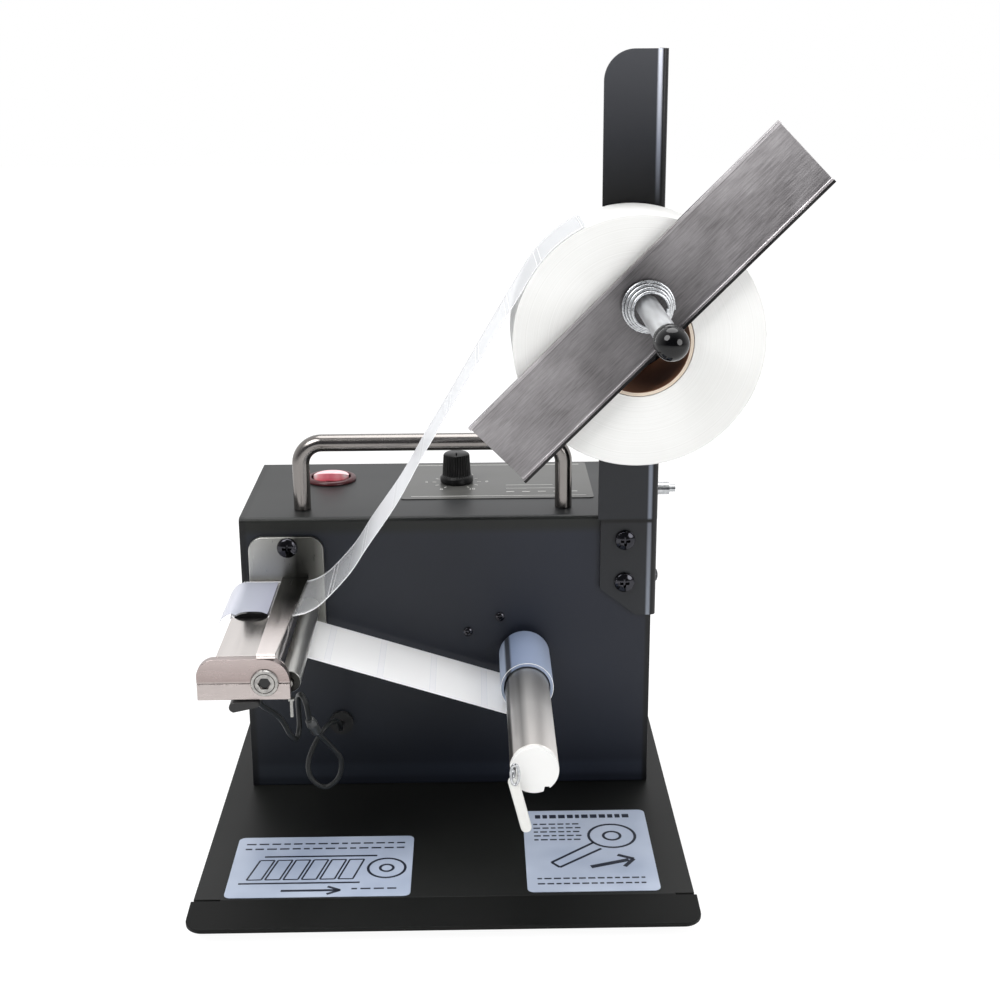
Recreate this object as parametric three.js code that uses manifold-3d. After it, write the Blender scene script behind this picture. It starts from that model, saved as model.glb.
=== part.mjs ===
import * as THREE from "three";
import { mergeVertices } from "three/addons/utils/BufferGeometryUtils.js";
import Module from "manifold-3d";

// A motor-driven desk label dispenser, in millimetres, +Z up.
// While it is built, X runs across from the middle of the housing, Y is 0 on the housing's front
// face and grows to the back, and Z is 0 on the base plate's top. At the end the whole machine is
// placed with the middle of its underside at the origin.

const wasm = await Module();
wasm.setup();

// Clearances
const seat = 0.3;
const film = 0.1;
const running = 0.25;
const overrun = 2;

// Facets of round pieces
const fineSides = 64;
const midSides = 32;
const smallSides = 16;
const bendSteps = 6;

// Base plate
const baseLeft = -112;
const baseRight = 109.4;
const baseBend = -108.6;
const baseSheet = 2;
const baseFlange = 6;
const lipReach = 21.4;
const lipOverhang = 1;
const lipCorner = 8;
const lipDroop = THREE.MathUtils.degToRad(4.5);
const slotWidth = 1.2;
const slotLeft = 12;
const slotRight = 8.5;
const footHeight = 8;
const footBottom = 8;
const footTop = 9.5;
const footInset = 18;

// Housing
const housingWidth = 200;
const housingDepth = 98;
const baseBack = housingDepth;
const housingHeight = 142;
const sheet = 1.5;
const sheetBend = 2.2;
const ventLength = 50;
const ventWidth = 3;
const ventPitch = 8;
const ventRows = 4;
const ventDrop = 20;
const ventTop = housingHeight - ventDrop;

// Screws
const panHead = 4.95;
const panHeight = 2.8;
const panShank = 2.4;
const panSlack = 0.5;
const recessLength = 4.6;
const recessWidth = 1;
const recessDepth = 1.6;
const screwDomeShare = 0.6;
const smallHead = 3.2;
const smallHeight = 1.8;
const smallShank = 1.5;
const motorHead = 2.3;
const motorHeadHeight = 1.4;

// Control label, speed knob and power switch
const labelLeft = -23;
const labelRight = 74;
const labelFront = 29;
const labelBack = 95;
const labelSheet = 0.4;
const knobX = 4.7;
const knobY = 59;
const knobSkirt = 8.5;
const knobSkirtHeight = 3;
const knobFoot = 7.4;
const knobTop = 6.6;
const knobHeight = 15.2;
const knobLift = 0.8;
const knobRecess = 5.2;
const knobRecessHeight = 5;
const knobPointer = 0.9;
const knobPointerDepth = 0.6;
const potShaft = 3;
const potShaftLow = 0.3;
const potBush = 4;
const potBushTop = 4;
const potBody = 8;
const potBodyHeight = 9;
const switchX = -61;
const switchY = 67;
const bezelRadius = 13;
const bezelHeight = 1.8;
const switchBody = 11;
const switchBore = 10.3;
const switchDepth = 18;
const switchCavity = 6.4;
const rockerReach = 9.2;
const rockerEdge = 3.4;
const rockerMiddle = 1.4;
const rockerUnder = 0.6;
const rockerKeel = 3.4;
const rockerPivot = 1;
const rockerTilt = THREE.MathUtils.degToRad(10);

// Handle
const handleSpacing = 128;
const handleLeft = -70.6;
const handleY = 15.2;
const handleRod = 4.2;
const handleRise = 33.4;
const handleBend = 10.5;
const handleBore = 2.1;
const handleBoreDepth = 10;

// Roll upright, an angle with a rounded top
const uprightSheet = 1.8;
const uprightWidth = 28.8;
const uprightRight = housingWidth / 2 + seat + uprightSheet;
const uprightLeft = uprightRight - uprightWidth;
const uprightTop = 358.5;
const uprightCorner = 14;
const uprightJoggle = 0.7;
const uprightStepDrop = 2; // from the housing's top to the upright's step
const uprightStep = housingHeight - uprightStepDrop;
const uprightFootStep = 1.3; // from the upright's left edge to the foot's
const uprightFootLeft = uprightLeft + uprightFootStep;
const uprightFootDrop = 37; // to the foot's left corner
const uprightTipDrop = 50.9; // to the foot's lowest edge
const uprightFootLow = housingHeight - uprightFootDrop;
const uprightFootTip = housingHeight - uprightTipDrop;
const uprightFootTipInset = 9.8;
const uprightFootTipX = uprightRight - uprightFootTipInset;
const uprightFlangeDepth = 22;
const uprightScrewInset = 15.6;
const uprightScrewX = uprightRight - uprightScrewInset;
const uprightScrewDrop = 12; // to the upper screw
const uprightScrewStep = 21.6; // from screw to screw
const uprightScrewHigh = housingHeight - uprightScrewDrop;
const uprightScrewLow = uprightScrewHigh - uprightScrewStep;
const sideScrewY = 9;
const sideScrewDrop = 34;
const sideScrewZ = housingHeight - sideScrewDrop;
const studY = 9;
const studRise = 10.6;
const studZ = housingHeight + studRise;
const studReach = 9.4;
const studRadius = 3.1;
const studTip = 1.8;
const studTipLength = 3;

// Axle, cap, spring and guide bar
const axleInset = 13.1; // from the upright's right face
const axleX = uprightRight - axleInset;
const axleZ = 252.5;
const axleRadius = 5;
const axleEnd = -136;
const axleThread = 3;
const axleThreadEnd = 8;
const nutRadius = 5.8;
const nutThickness = 5;
const capRadius = 6.7;
const capBack = -130.5;
const capDome = 6.5;
const capSheet = 1.6;
const barLength = 184;
const barWidth = 35.5;
const barSheet = 1.5;
const barFlange = 3.4;
const barHole = 7;
const barAngle = Math.PI / 4;
const springBig = 11.4;
const springSmall = 7.1;
const springWire = 0.65;
const springTurns = 4;
const springDepth = 12;
const springSteps = 8;
const springSides = 5;

// Label roll
const rollShift = 2.8; // the roll hangs off the axle's line
const rollX = axleX - rollShift;
const rollZ = 236.2;
const rollRadius = 55.2;
const rollFront = -52;
const rollBack = -4.4;
const coreInner = 21.9;
const coreOuter = 23.6;
const coreProud = 0.5;

// Peeler
const mountDrop = 8.7; // from the housing's top to the plate's top edge
const mountTop = housingHeight - mountDrop;
const peelDrop = 33.1; // from the plate's top edge to the shaft
const peelLeft = -97.4;
const peelPivotX = -76.6;
const peelPivotZ = mountTop - peelDrop;
const peelRound = 10.7;
const peelTop = peelPivotZ + peelRound;
const peelLipX = -68.3;
const peelSheet = 1.5;
const peelBevel = 6;
const peelFront = -97;
const peelEdge = 0.4;
const endThickness = 4;
const endLeft = -105.7;
const endSplitDrop = 0.2; // all drops here are from the shaft
const endSplit = peelPivotZ - endSplitDrop;
const endDrop = 7.9;
const endBottom = peelPivotZ - endDrop;
const endCorner = 8;
const bushRadius = 6.1;
const supportRadius = 3.5;
const bushHex = 2.9;
const bushHexDepth = 5;
const bushProud = 1.2;
const mountLeft = -95.7;
const mountRight = -59.4;
const mountHeight = 51.3;
const mountBottom = mountTop - mountHeight;
const mountCorner = 7;
const mountSheet = 3;
const mountScrewX = -76.7;
const mountScrewDrop = 5; // from the plate's top edge to its screw
const mountScrewZ = mountTop - mountScrewDrop;
const holdLeft = -79.7;
const holdBack = -67;
const holdFront = -71.5;
const holdSheet = 1;
const holdFoot = 1.2; // bent down onto the end plate
const rollerX = -67;
const rollerDrop = 2.4;
const rollerZ = peelPivotZ - rollerDrop;
const rollerRadius = 5;
const rollerBore = 2.2;
const rollerPin = 1.8;
const rollerFront = -95;
const pinX = -65.8;
const pinY = -99.2;
const pinRadius = 0.7;
const pinDrop = 16.8;
const pinLow = peelPivotZ - pinDrop;
const pinHead = 1.4;
const pinHeadHeight = 1;

// Sensor and its cable
const sensorX = -90;
const sensorRadius = 2.3;
const sensorRight = -80.6;
const sensorTip = 1.4;
const sensorFront = -103;
const sensorBack = -84;
const cableRadius = 1.2;
const cableSides = 8;
const sleeveRadius = 2.6;
const grommetX = -53.9;
const grommetZ = 35;
const grommetRadius = 6;
const grommetHole = 4.5;

// Web of labels on its liner
const webSheet = 0.5;
const webFront = -51.4;
const webBack = -5;
const peeledReach = 6.4; // past the edge
const peeledDroop = 4.8;
const peeledShare = 0.45; // of the reach, where the label starts to droop
const peeledBendShare = 0.25; // of the droop, at the bend in its free end
const peeledRight = -81;
const peeledInset = 2.5;
const webLeave = THREE.MathUtils.degToRad(59.5);
const webLandingX = -69;
const webCourseShares = [
  [0.554, 0.479],
  [0.45, 0.35],
  [0.32, 0.216],
  [0.238, 0.128],
  [0.122, 0.04],
  [0.056, 0.01],
];

// Motor and rewind spindle
const spindleX = 37.5;
const spindleDrop = 70; // from the housing's top
const spindleZ = housingHeight - spindleDrop;
const spindleRadius = 10.3;
const spindleFront = -127.5;
const spindleBack = -3;
const spindleBore = 4.3;
const spindleSlotWidth = 3.2;
const spindleSlotDepth = 2.6;
const shaftRadius = 4;
const shaftHole = 5;
const plugThickness = 3;
const plugStem = 12;
const plugNotch = 2;
const woundInner = 10.9;
const woundOuter = 12.4;
const woundFront = -46;
const woundBack = -5;
const clipWire = 1.2;
const clipFront = -133;
const clipTabLength = 26;
const clipTabWidth = 7;
const clipTabSheet = 3;
const clipTabAngle = THREE.MathUtils.degToRad(14);
const gearX = 24.5;
const gearOffset = 0.7;
const gearZ = spindleZ + gearOffset;
const gearRadius = 22;
const gearDepth = 28;
const gearBolts = 17.6;
const gearScrewAngles = [146, 86, 26, -34].map(THREE.MathUtils.degToRad);
const motorRadius = 17;
const motorDepth = 42;
const motorOffset = -8;

// Electronics
const boardLeft = -70;
const boardRight = -5;
const boardThickness = 1.6;
const boardHeight = 52;
const boardLift = 14;
const coreWidth = 38;
const coreDepth = 30;
const coreHeight = 32;
const coreX = -58;
const coreY = 36;
const coilRadius = 12;
const inletX = 60;
const inletZ = 30;
const inletWidth = 27;
const inletHeight = 20;
const inletDepth = 16;
const inletFace = 2.5;
const inletPocket = 13;
const inletWall = 2.5;
const inletBezel = 3;

// Stickers on the base
const stickerSheet = 0.3;
const stickerCorner = 3;
const stickerA = { left: -99, right: -16.5, front: -107.6, back: -54.2 };
const stickerB = { left: 35.6, right: 95, front: -106.2, back: -31.6 };

const model = new THREE.Group();

// Solids

function solid(geometry) {
  const bare = geometry.clone();
  bare.deleteAttribute("normal");
  bare.deleteAttribute("uv");
  const merged = mergeVertices(bare, film / (fineSides * fineSides));
  return new wasm.Manifold(
    new wasm.Mesh({
      numProp: 3,
      vertProperties: merged.attributes.position.array,
      triVerts: new Uint32Array(merged.index.array),
    }),
  );
}

function geometryOf(shape) {
  const result = shape.getMesh();
  const geometry = new THREE.BufferGeometry();
  geometry.setAttribute("position", new THREE.BufferAttribute(result.vertProperties, 3));
  geometry.setIndex(new THREE.BufferAttribute(result.triVerts, 1));
  const flat = geometry.toNonIndexed();
  flat.computeVertexNormals();
  return flat;
}

function cut(geometry, ...tools) {
  return geometryOf(tools.reduce((left, tool) => left.subtract(solid(tool)), solid(geometry)));
}

function join(geometry, ...others) {
  return geometryOf(others.reduce((sum, other) => sum.add(solid(other)), solid(geometry)));
}

function common(geometry, other) {
  return geometryOf(solid(geometry).intersect(solid(other)));
}

// Pieces

function piece(name, geometry, color, roughness, metalness) {
  const mesh = new THREE.Mesh(
    geometry,
    new THREE.MeshStandardMaterial({ color, roughness, metalness }),
  );
  mesh.name = name;
  model.add(mesh);
  return mesh;
}

function block(x0, x1, y0, y1, z0, z1) {
  const geometry = new THREE.BoxGeometry(x1 - x0, y1 - y0, z1 - z0);
  return geometry.translate((x0 + x1) / 2, (y0 + y1) / 2, (z0 + z1) / 2);
}

function rodY(radius, y0, y1, x, z, sides = smallSides) {
  const geometry = new THREE.CylinderGeometry(radius, radius, y1 - y0, sides);
  return geometry.translate(x, (y0 + y1) / 2, z);
}

function rodZ(radius, z0, z1, x, y, sides = smallSides) {
  const geometry = new THREE.CylinderGeometry(radius, radius, z1 - z0, sides);
  return geometry.rotateX(Math.PI / 2).translate(x, y, (z0 + z1) / 2);
}

function rodX(radius, x0, x1, y, z, sides = smallSides) {
  const geometry = new THREE.CylinderGeometry(radius, radius, x1 - x0, sides);
  return geometry.rotateZ(Math.PI / 2).translate((x0 + x1) / 2, y, z);
}

// A profile of [radius, height] pairs turned about Z, drawn upwards on its outside.
function turnedZ(profile, x, y, z, sides = midSides) {
  const points = profile.map(([radius, height]) => new THREE.Vector2(radius, height));
  return new THREE.LatheGeometry(points, sides).rotateX(Math.PI / 2).translate(x, y, z);
}

// The same turned about Y: a height is measured towards the viewer from y.
function turnedY(profile, x, y, z, sides = midSides) {
  const points = profile.map(([radius, height]) => new THREE.Vector2(radius, height));
  return new THREE.LatheGeometry(points, sides).rotateX(Math.PI).translate(x, y, z);
}

// The same turned about X: a height is measured to the right from x.
function turnedX(profile, x, y, z, sides = midSides) {
  const points = profile.map(([radius, height]) => new THREE.Vector2(radius, height));
  return new THREE.LatheGeometry(points, sides).rotateZ(-Math.PI / 2).translate(x, y, z);
}

function outline(pairs) {
  return new THREE.Shape(pairs.map(([x, y]) => new THREE.Vector2(x, y)));
}

// An outline in X and Z given a depth from y1 forward to y0.
function slabY(pairs, y0, y1) {
  const geometry = new THREE.ExtrudeGeometry(outline(pairs), {
    depth: y1 - y0,
    bevelEnabled: false,
    steps: 1,
  });
  return geometry.rotateX(Math.PI / 2).translate(0, y1, 0);
}

// An outline in X and Y given a height from z0 up to z1.
function slabZ(pairs, z0, z1) {
  const geometry = new THREE.ExtrudeGeometry(outline(pairs), {
    depth: z1 - z0,
    bevelEnabled: false,
    steps: 1,
  });
  return geometry.translate(0, 0, z0);
}

function arc(x, y, radius, from, to, steps = bendSteps) {
  return Array.from({ length: steps + 1 }, (_, i) => {
    const a = from + ((to - from) * i) / steps;
    return [x + radius * Math.cos(a), y + radius * Math.sin(a)];
  });
}

function roundedRectangle(x0, x1, y0, y1, radius) {
  const quarter = Math.PI / 2;
  return [
    ...arc(x1 - radius, y0 + radius, radius, -quarter, 0),
    ...arc(x1 - radius, y1 - radius, radius, 0, quarter),
    ...arc(x0 + radius, y1 - radius, radius, quarter, 2 * quarter),
    ...arc(x0 + radius, y0 + radius, radius, 2 * quarter, 3 * quarter),
  ];
}

// A band of even thickness along a line of [x, z] points, as a closed outline.
function band(line, thickness) {
  const half = thickness / 2;
  const sides = line.map(([x, z], i) => {
    const [ax, az] = line[Math.max(i - 1, 0)];
    const [bx, bz] = line[Math.min(i + 1, line.length - 1)];
    const length = Math.hypot(bx - ax, bz - az);
    const nx = (-(bz - az) / length) * half;
    const nz = ((bx - ax) / length) * half;
    return [
      [x + nx, z + nz],
      [x - nx, z - nz],
    ];
  });
  return [...sides.map((pair) => pair[0]), ...sides.map((pair) => pair[1]).reverse()];
}

// A path that passes through its points, with one step of the sweep for each.
class Route extends THREE.Curve {
  constructor(points) {
    super();
    this.points = points;
  }

  getPointAt(u) {
    return this.points[Math.round(u * (this.points.length - 1))].clone();
  }

  getTangentAt(u) {
    const i = Math.round(u * (this.points.length - 1));
    const before = this.points[Math.max(i - 1, 0)];
    const after = this.points[Math.min(i + 1, this.points.length - 1)];
    return after.clone().sub(before).normalize();
  }
}

function tube(points, radius, sides) {
  const section = Array.from({ length: sides }, (_, i) => {
    const a = (2 * Math.PI * i) / sides;
    return [radius * Math.cos(a), radius * Math.sin(a)];
  });
  return new THREE.ExtrudeGeometry(outline(section), {
    steps: points.length - 1,
    extrudePath: new Route(points),
    bevelEnabled: false,
  });
}

function point(x, y, z) {
  return new THREE.Vector3(x, y, z);
}

// A screw with a domed head and a cross recess, drawn with its head towards +Y of its own frame.
function panScrew(head, height, shank, length) {
  const body = new THREE.LatheGeometry(
    [
      [0, -length],
      [shank, -length],
      [shank, 0],
      [head, 0],
      [head, height / 2],
      [head * screwDomeShare, height],
      [0, height],
    ].map(([radius, y]) => new THREE.Vector2(radius, y)),
    smallSides,
  );
  const scale = head / panHead;
  const long = recessLength * scale;
  const wide = recessWidth * scale;
  const low = height - recessDepth * scale;
  const high = height + overrun;
  return cut(
    body,
    block(-long / 2, long / 2, low, high, -wide / 2, wide / 2),
    block(-wide / 2, wide / 2, low, high, -long / 2, long / 2),
  );
}

const housingBlack = 0x2d3037;
const steelGrey = 0xb4b0a8;
const polished = 0xc8cdd0;
const paper = 0xf4f4f0;
const linerColour = 0xe6e8ec;

// Housing shell: the front and top are one bent sheet, the others close its sides and back.
const halfWidth = housingWidth / 2;
const topUnder = housingHeight - sheet;
const tall = housingDepth + overrun;

const frontProfile = [
  [0, seat],
  [sheet, seat],
  ...arc(sheetBend, housingHeight - sheetBend, sheetBend - sheet, Math.PI, Math.PI / 2),
  [housingDepth, topUnder],
  [housingDepth, housingHeight],
  ...arc(sheetBend, housingHeight - sheetBend, sheetBend, Math.PI / 2, Math.PI),
];
const bentSheet = new THREE.ExtrudeGeometry(outline(frontProfile), {
  depth: housingWidth,
  bevelEnabled: false,
})
  .rotateX(Math.PI / 2)
  .rotateZ(Math.PI / 2)
  .translate(-halfWidth, 0, 0);
const gearScrewSpots = gearScrewAngles.map((a) => [
  gearX + gearBolts * Math.cos(a),
  gearZ + gearBolts * Math.sin(a),
]);
const handleLegs = [handleLeft, handleLeft + handleSpacing];
const uprightScrewHeights = [uprightScrewHigh, uprightScrewLow];
piece(
  "front_panel",
  cut(
    bentSheet,
    rodY(shaftHole, -overrun, sheet + overrun, spindleX, spindleZ),
    ...gearScrewSpots.map(([x, z]) =>
      rodY(smallShank + panSlack, -overrun, sheet + overrun, x, z),
    ),
    rodY(grommetHole, -overrun, sheet + overrun, grommetX, grommetZ),
    rodY(panShank + panSlack, -overrun, sheet + overrun, mountScrewX, mountScrewZ),
    ...uprightScrewHeights.map((z) =>
      rodY(panShank + panSlack, -overrun, sheet + overrun, uprightScrewX, z),
    ),
    ...handleLegs.map((x) =>
      rodZ(handleBore, topUnder - overrun, housingHeight + overrun, x, handleY),
    ),
    rodZ(potBush + seat, topUnder - overrun, housingHeight + overrun, knobX, knobY),
    rodZ(switchBody + seat, topUnder - overrun, housingHeight + overrun, switchX, switchY),
  ),
  housingBlack,
  0.5,
  0.2,
);

const sideTop = topUnder - seat;
const rearFace = housingDepth - sheet;
const sideScrewSlack = smallShank + panSlack;
const sideSheet = (x0) =>
  block(x0, x0 + sheet, sheet + seat, rearFace - seat, seat, sideTop);
piece("left_side_panel", sideSheet(-halfWidth), housingBlack, 0.5, 0.2);
piece(
  "right_side_panel",
  cut(
    sideSheet(halfWidth - sheet),
    rodX(sideScrewSlack, halfWidth - sheet - overrun, halfWidth + overrun, sideScrewY, sideScrewZ),
  ),
  housingBlack,
  0.5,
  0.2,
);
const vents = Array.from({ length: ventRows }, (_, i) => {
  const z = ventTop - i * ventPitch;
  return block(-ventLength, ventLength, rearFace - overrun, tall, z, z + ventWidth);
});
piece(
  "rear_cover",
  cut(
    block(-halfWidth, halfWidth, rearFace, housingDepth, seat, sideTop),
    block(
      inletX - inletWidth / 2 - seat,
      inletX + inletWidth / 2 + seat,
      rearFace - overrun,
      tall,
      inletZ - inletHeight / 2 - seat,
      inletZ + inletHeight / 2 + seat,
    ),
    ...vents,
  ),
  housingBlack,
  0.5,
  0.2,
);

// Base plate: flat sheet, side and back flanges, and a lip bent a little down at the front
const lipShape = new THREE.ExtrudeGeometry(
  outline([
    [baseLeft - lipOverhang, 0],
    ...arc(baseLeft - lipOverhang + lipCorner, -lipReach + lipCorner, lipCorner, Math.PI, 1.5 * Math.PI),
    ...arc(baseRight + lipOverhang - lipCorner, -lipReach + lipCorner, lipCorner, 1.5 * Math.PI, 2 * Math.PI),
    [baseRight + lipOverhang, 0],
  ]),
  { depth: baseSheet, bevelEnabled: false },
)
  .translate(0, 0, -baseSheet)
  .rotateX(lipDroop)
  .translate(0, baseBend, 0);
piece(
  "base_plate",
  cut(
    join(
      block(baseLeft, baseRight, baseBend - film, baseBack, -baseSheet, 0),
      lipShape,
      block(baseLeft, baseLeft + baseSheet, baseBend + baseSheet, baseBack, -baseFlange, 0),
      block(baseRight - baseSheet, baseRight, baseBend + baseSheet, baseBack, -baseFlange, 0),
      block(baseLeft, baseRight, baseBack - baseSheet, baseBack, -baseFlange, 0),
    ),
    block(
      baseLeft - lipOverhang - overrun,
      baseLeft + slotLeft,
      baseBend - slotWidth / 2,
      baseBend + slotWidth / 2,
      -baseSheet - overrun,
      overrun,
    ),
    block(
      baseRight - slotRight,
      baseRight + lipOverhang + overrun,
      baseBend - slotWidth / 2,
      baseBend + slotWidth / 2,
      -baseSheet - overrun,
      overrun,
    ),
  ),
  0x232422,
  0.45,
  0.3,
);
const footPlaces = {
  front_left: [baseLeft + footInset, baseBend + footInset],
  front_right: [baseRight - footInset, baseBend + footInset],
  back_left: [baseLeft + footInset, baseBack - footInset],
  back_right: [baseRight - footInset, baseBack - footInset],
};
for (const [place, [x, y]] of Object.entries(footPlaces)) {
  piece(
    "foot_" + place,
    turnedZ(
      [
        [0, -footHeight],
        [footBottom, -footHeight],
        [footTop, -seat],
        [0, -seat],
      ],
      x,
      y,
      -baseSheet,
      smallSides,
    ),
    0x1a1a1a,
    0.9,
    0,
  );
}

// Instruction stickers
for (const [name, at] of Object.entries({ sticker_left: stickerA, sticker_right: stickerB })) {
  piece(
    name,
    slabZ(
      roundedRectangle(at.left, at.right, at.front, at.back, stickerCorner),
      film,
      film + stickerSheet,
    ),
    0xb9c3dc,
    0.4,
    0.1,
  );
}

// Control label, potentiometer, knob and rocker switch on the top
piece(
  "control_label",
  cut(
    block(
      labelLeft,
      labelRight - seat,
      labelFront,
      labelBack,
      housingHeight + film,
      housingHeight + film + labelSheet,
    ),
    rodZ(knobRecess, housingHeight - overrun, housingHeight + overrun, knobX, knobY),
  ),
  0x6e6d6a,
  0.5,
  0.1,
);
piece(
  "potentiometer",
  turnedZ(
    [
      [0, -potBodyHeight],
      [potBody, -potBodyHeight],
      [potBody, -sheet - seat],
      [potBush, -sheet - seat],
      [potBush, potBushTop],
      [potShaft + running, potBushTop],
      [potShaft + running, -sheet],
      [0, -sheet],
    ],
    knobX,
    knobY,
    housingHeight,
  ),
  0x8c8c8c,
  0.4,
  0.7,
);
piece(
  "speed_knob",
  cut(
    turnedZ(
      [
        [0, potShaftLow - sheet],
        [potShaft, potShaftLow - sheet],
        [potShaft, knobRecessHeight],
        [knobRecess, knobRecessHeight],
        [knobRecess, knobLift],
        [knobSkirt, knobLift],
        [knobSkirt, knobLift + knobSkirtHeight],
        [knobFoot, knobLift + knobSkirtHeight + knobLift],
        [knobTop, knobLift + knobHeight],
        [0, knobLift + knobHeight],
      ],
      knobX,
      knobY,
      housingHeight,
      midSides,
    ),
    block(
      knobX - knobPointer / 2,
      knobX + knobPointer / 2,
      knobY - knobFoot - overrun,
      knobY,
      housingHeight + knobLift + knobHeight - knobPointerDepth,
      housingHeight + knobLift + knobHeight + overrun,
    ),
  ),
  0x161616,
  0.4,
  0,
);
piece(
  "switch_body",
  turnedZ(
    [
      [0, -switchDepth],
      [switchBody, -switchDepth],
      [switchBody, seat],
      [bezelRadius, seat],
      [bezelRadius, seat + bezelHeight / 2],
      [bezelRadius - bezelHeight / 2, seat + bezelHeight],
      [switchBore, seat + bezelHeight],
      [switchBore, -switchCavity],
      [0, -switchCavity],
    ],
    switchX,
    switchY,
    housingHeight,
  ),
  0x1a1a1a,
  0.4,
  0,
);
const rockerBlock = new THREE.ExtrudeGeometry(
  outline([
    [-rockerReach, -rockerUnder],
    [0, -rockerKeel],
    [rockerReach, -rockerUnder],
    [rockerReach, rockerEdge],
    [0, rockerMiddle],
    [-rockerReach, rockerEdge],
  ]),
  { depth: 2 * rockerReach, bevelEnabled: false },
)
  .rotateX(Math.PI / 2)
  .rotateZ(Math.PI / 2)
  .translate(-rockerReach, 0, 0);
piece(
  "switch_rocker",
  common(
    rockerBlock,
    rodZ(rockerReach, -rockerKeel - overrun, rockerEdge + overrun, 0, 0, midSides),
  )
    .rotateX(-rockerTilt)
    .translate(switchX, switchY, housingHeight + rockerPivot),
  0x9c1620,
  0.3,
  0,
);

// Handle: one bent rod, tapped from below, held by two screws through the top
const handleFoot = housingHeight + film;
const handleBar = housingHeight + handleRise;
const handlePath = (() => {
  const [left, right] = handleLegs;
  const turn = (x, from, to) =>
    arc(x, handleBar - handleBend, handleBend, from, to).map(([px, pz]) => point(px, handleY, pz));
  return [
    point(left, handleY, handleFoot),
    ...turn(left + handleBend, Math.PI, Math.PI / 2),
    ...turn(right - handleBend, Math.PI / 2, 0),
    point(right, handleY, handleFoot),
  ];
})();
piece(
  "handle",
  cut(
    tube(handlePath, handleRod, smallSides),
    ...handleLegs.map((x) =>
      rodZ(handleBore, handleFoot - overrun, handleFoot + handleBoreDepth, x, handleY),
    ),
  ),
  polished,
  0.2,
  1,
);
handleLegs.forEach((x, i) => {
  piece(
    "handle_screw_" + ["left", "right"][i],
    panScrew(smallHead, smallHeight, smallShank, sheet + seat + handleBoreDepth / 2)
      .rotateX(-Math.PI / 2)
      .translate(x, handleY, topUnder - seat),
    0x8a8a8a,
    0.3,
    0.9,
  );
});

// Roll upright: its front leg steps back at the foot, where it is screwed to the housing
const uprightBack = -seat;
const uprightFace = uprightBack - uprightSheet;
const uprightUpperBack = uprightBack - uprightJoggle;
const uprightUpperFace = uprightFace - uprightJoggle;
const uprightUpperOutline = [
  [uprightLeft, uprightStep],
  [uprightRight, uprightStep],
  [uprightRight, uprightTop],
  ...arc(uprightLeft + uprightCorner, uprightTop - uprightCorner, uprightCorner, Math.PI / 2, Math.PI),
];
const uprightFootOutline = [
  [uprightFootLeft, uprightFootLow],
  [uprightFootTipX, uprightFootTip],
  [uprightRight, uprightFootTip],
  [uprightRight, uprightStep + uprightSheet],
  [uprightFootLeft, uprightStep + uprightSheet],
];
piece(
  "roll_upright",
  cut(
    join(
      slabY(uprightUpperOutline, uprightUpperFace, uprightUpperBack),
      slabY(uprightFootOutline, uprightFace, uprightBack),
      block(
        uprightRight - uprightSheet,
        uprightRight,
        uprightUpperFace,
        uprightUpperFace + uprightFlangeDepth,
        uprightStep,
        uprightTop,
      ),
      block(
        uprightRight - uprightSheet,
        uprightRight,
        uprightFace,
        uprightUpperFace + uprightFlangeDepth,
        uprightFootTip,
        uprightStep + uprightSheet,
      ),
    ),
    rodY(axleThread + seat, uprightUpperFace - overrun, overrun, axleX, axleZ),
    ...uprightScrewHeights.map((z) =>
      rodY(panShank + panSlack, uprightFace - overrun, overrun, uprightScrewX, z),
    ),
    rodX(studRadius + seat, uprightRight - uprightSheet - overrun, uprightRight + overrun, studY, studZ),
    rodX(sideScrewSlack, uprightRight - uprightSheet - overrun, uprightRight + overrun, sideScrewY, sideScrewZ),
  ),
  0x3a3d3e,
  0.5,
  0.3,
);
uprightScrewHeights.forEach((z, i) => {
  piece(
    "upright_screw_" + ["upper", "lower"][i],
    panScrew(panHead, panHeight, panShank, uprightSheet + seat + sheet + overrun)
      .rotateX(Math.PI)
      .translate(uprightScrewX, uprightFace - seat, z),
    0x18181a,
    0.35,
    0.6,
  );
});
piece(
  "side_panel_screw",
  panScrew(smallHead, smallHeight, smallShank, uprightSheet + seat + sheet + overrun)
    .rotateZ(-Math.PI / 2)
    .translate(uprightRight + seat, sideScrewY, sideScrewZ),
  0x18181a,
  0.35,
  0.6,
);
piece(
  "side_stud",
  turnedX(
    [
      [0, -uprightSheet],
      [studRadius, -uprightSheet],
      [studRadius, studReach - studTipLength],
      [studTip, studReach - studTipLength],
      [studTip, studReach],
      [0, studReach],
    ],
    uprightRight,
    studY,
    studZ,
    smallSides,
  ),
  0xb8bcc0,
  0.3,
  0.9,
);

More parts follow.
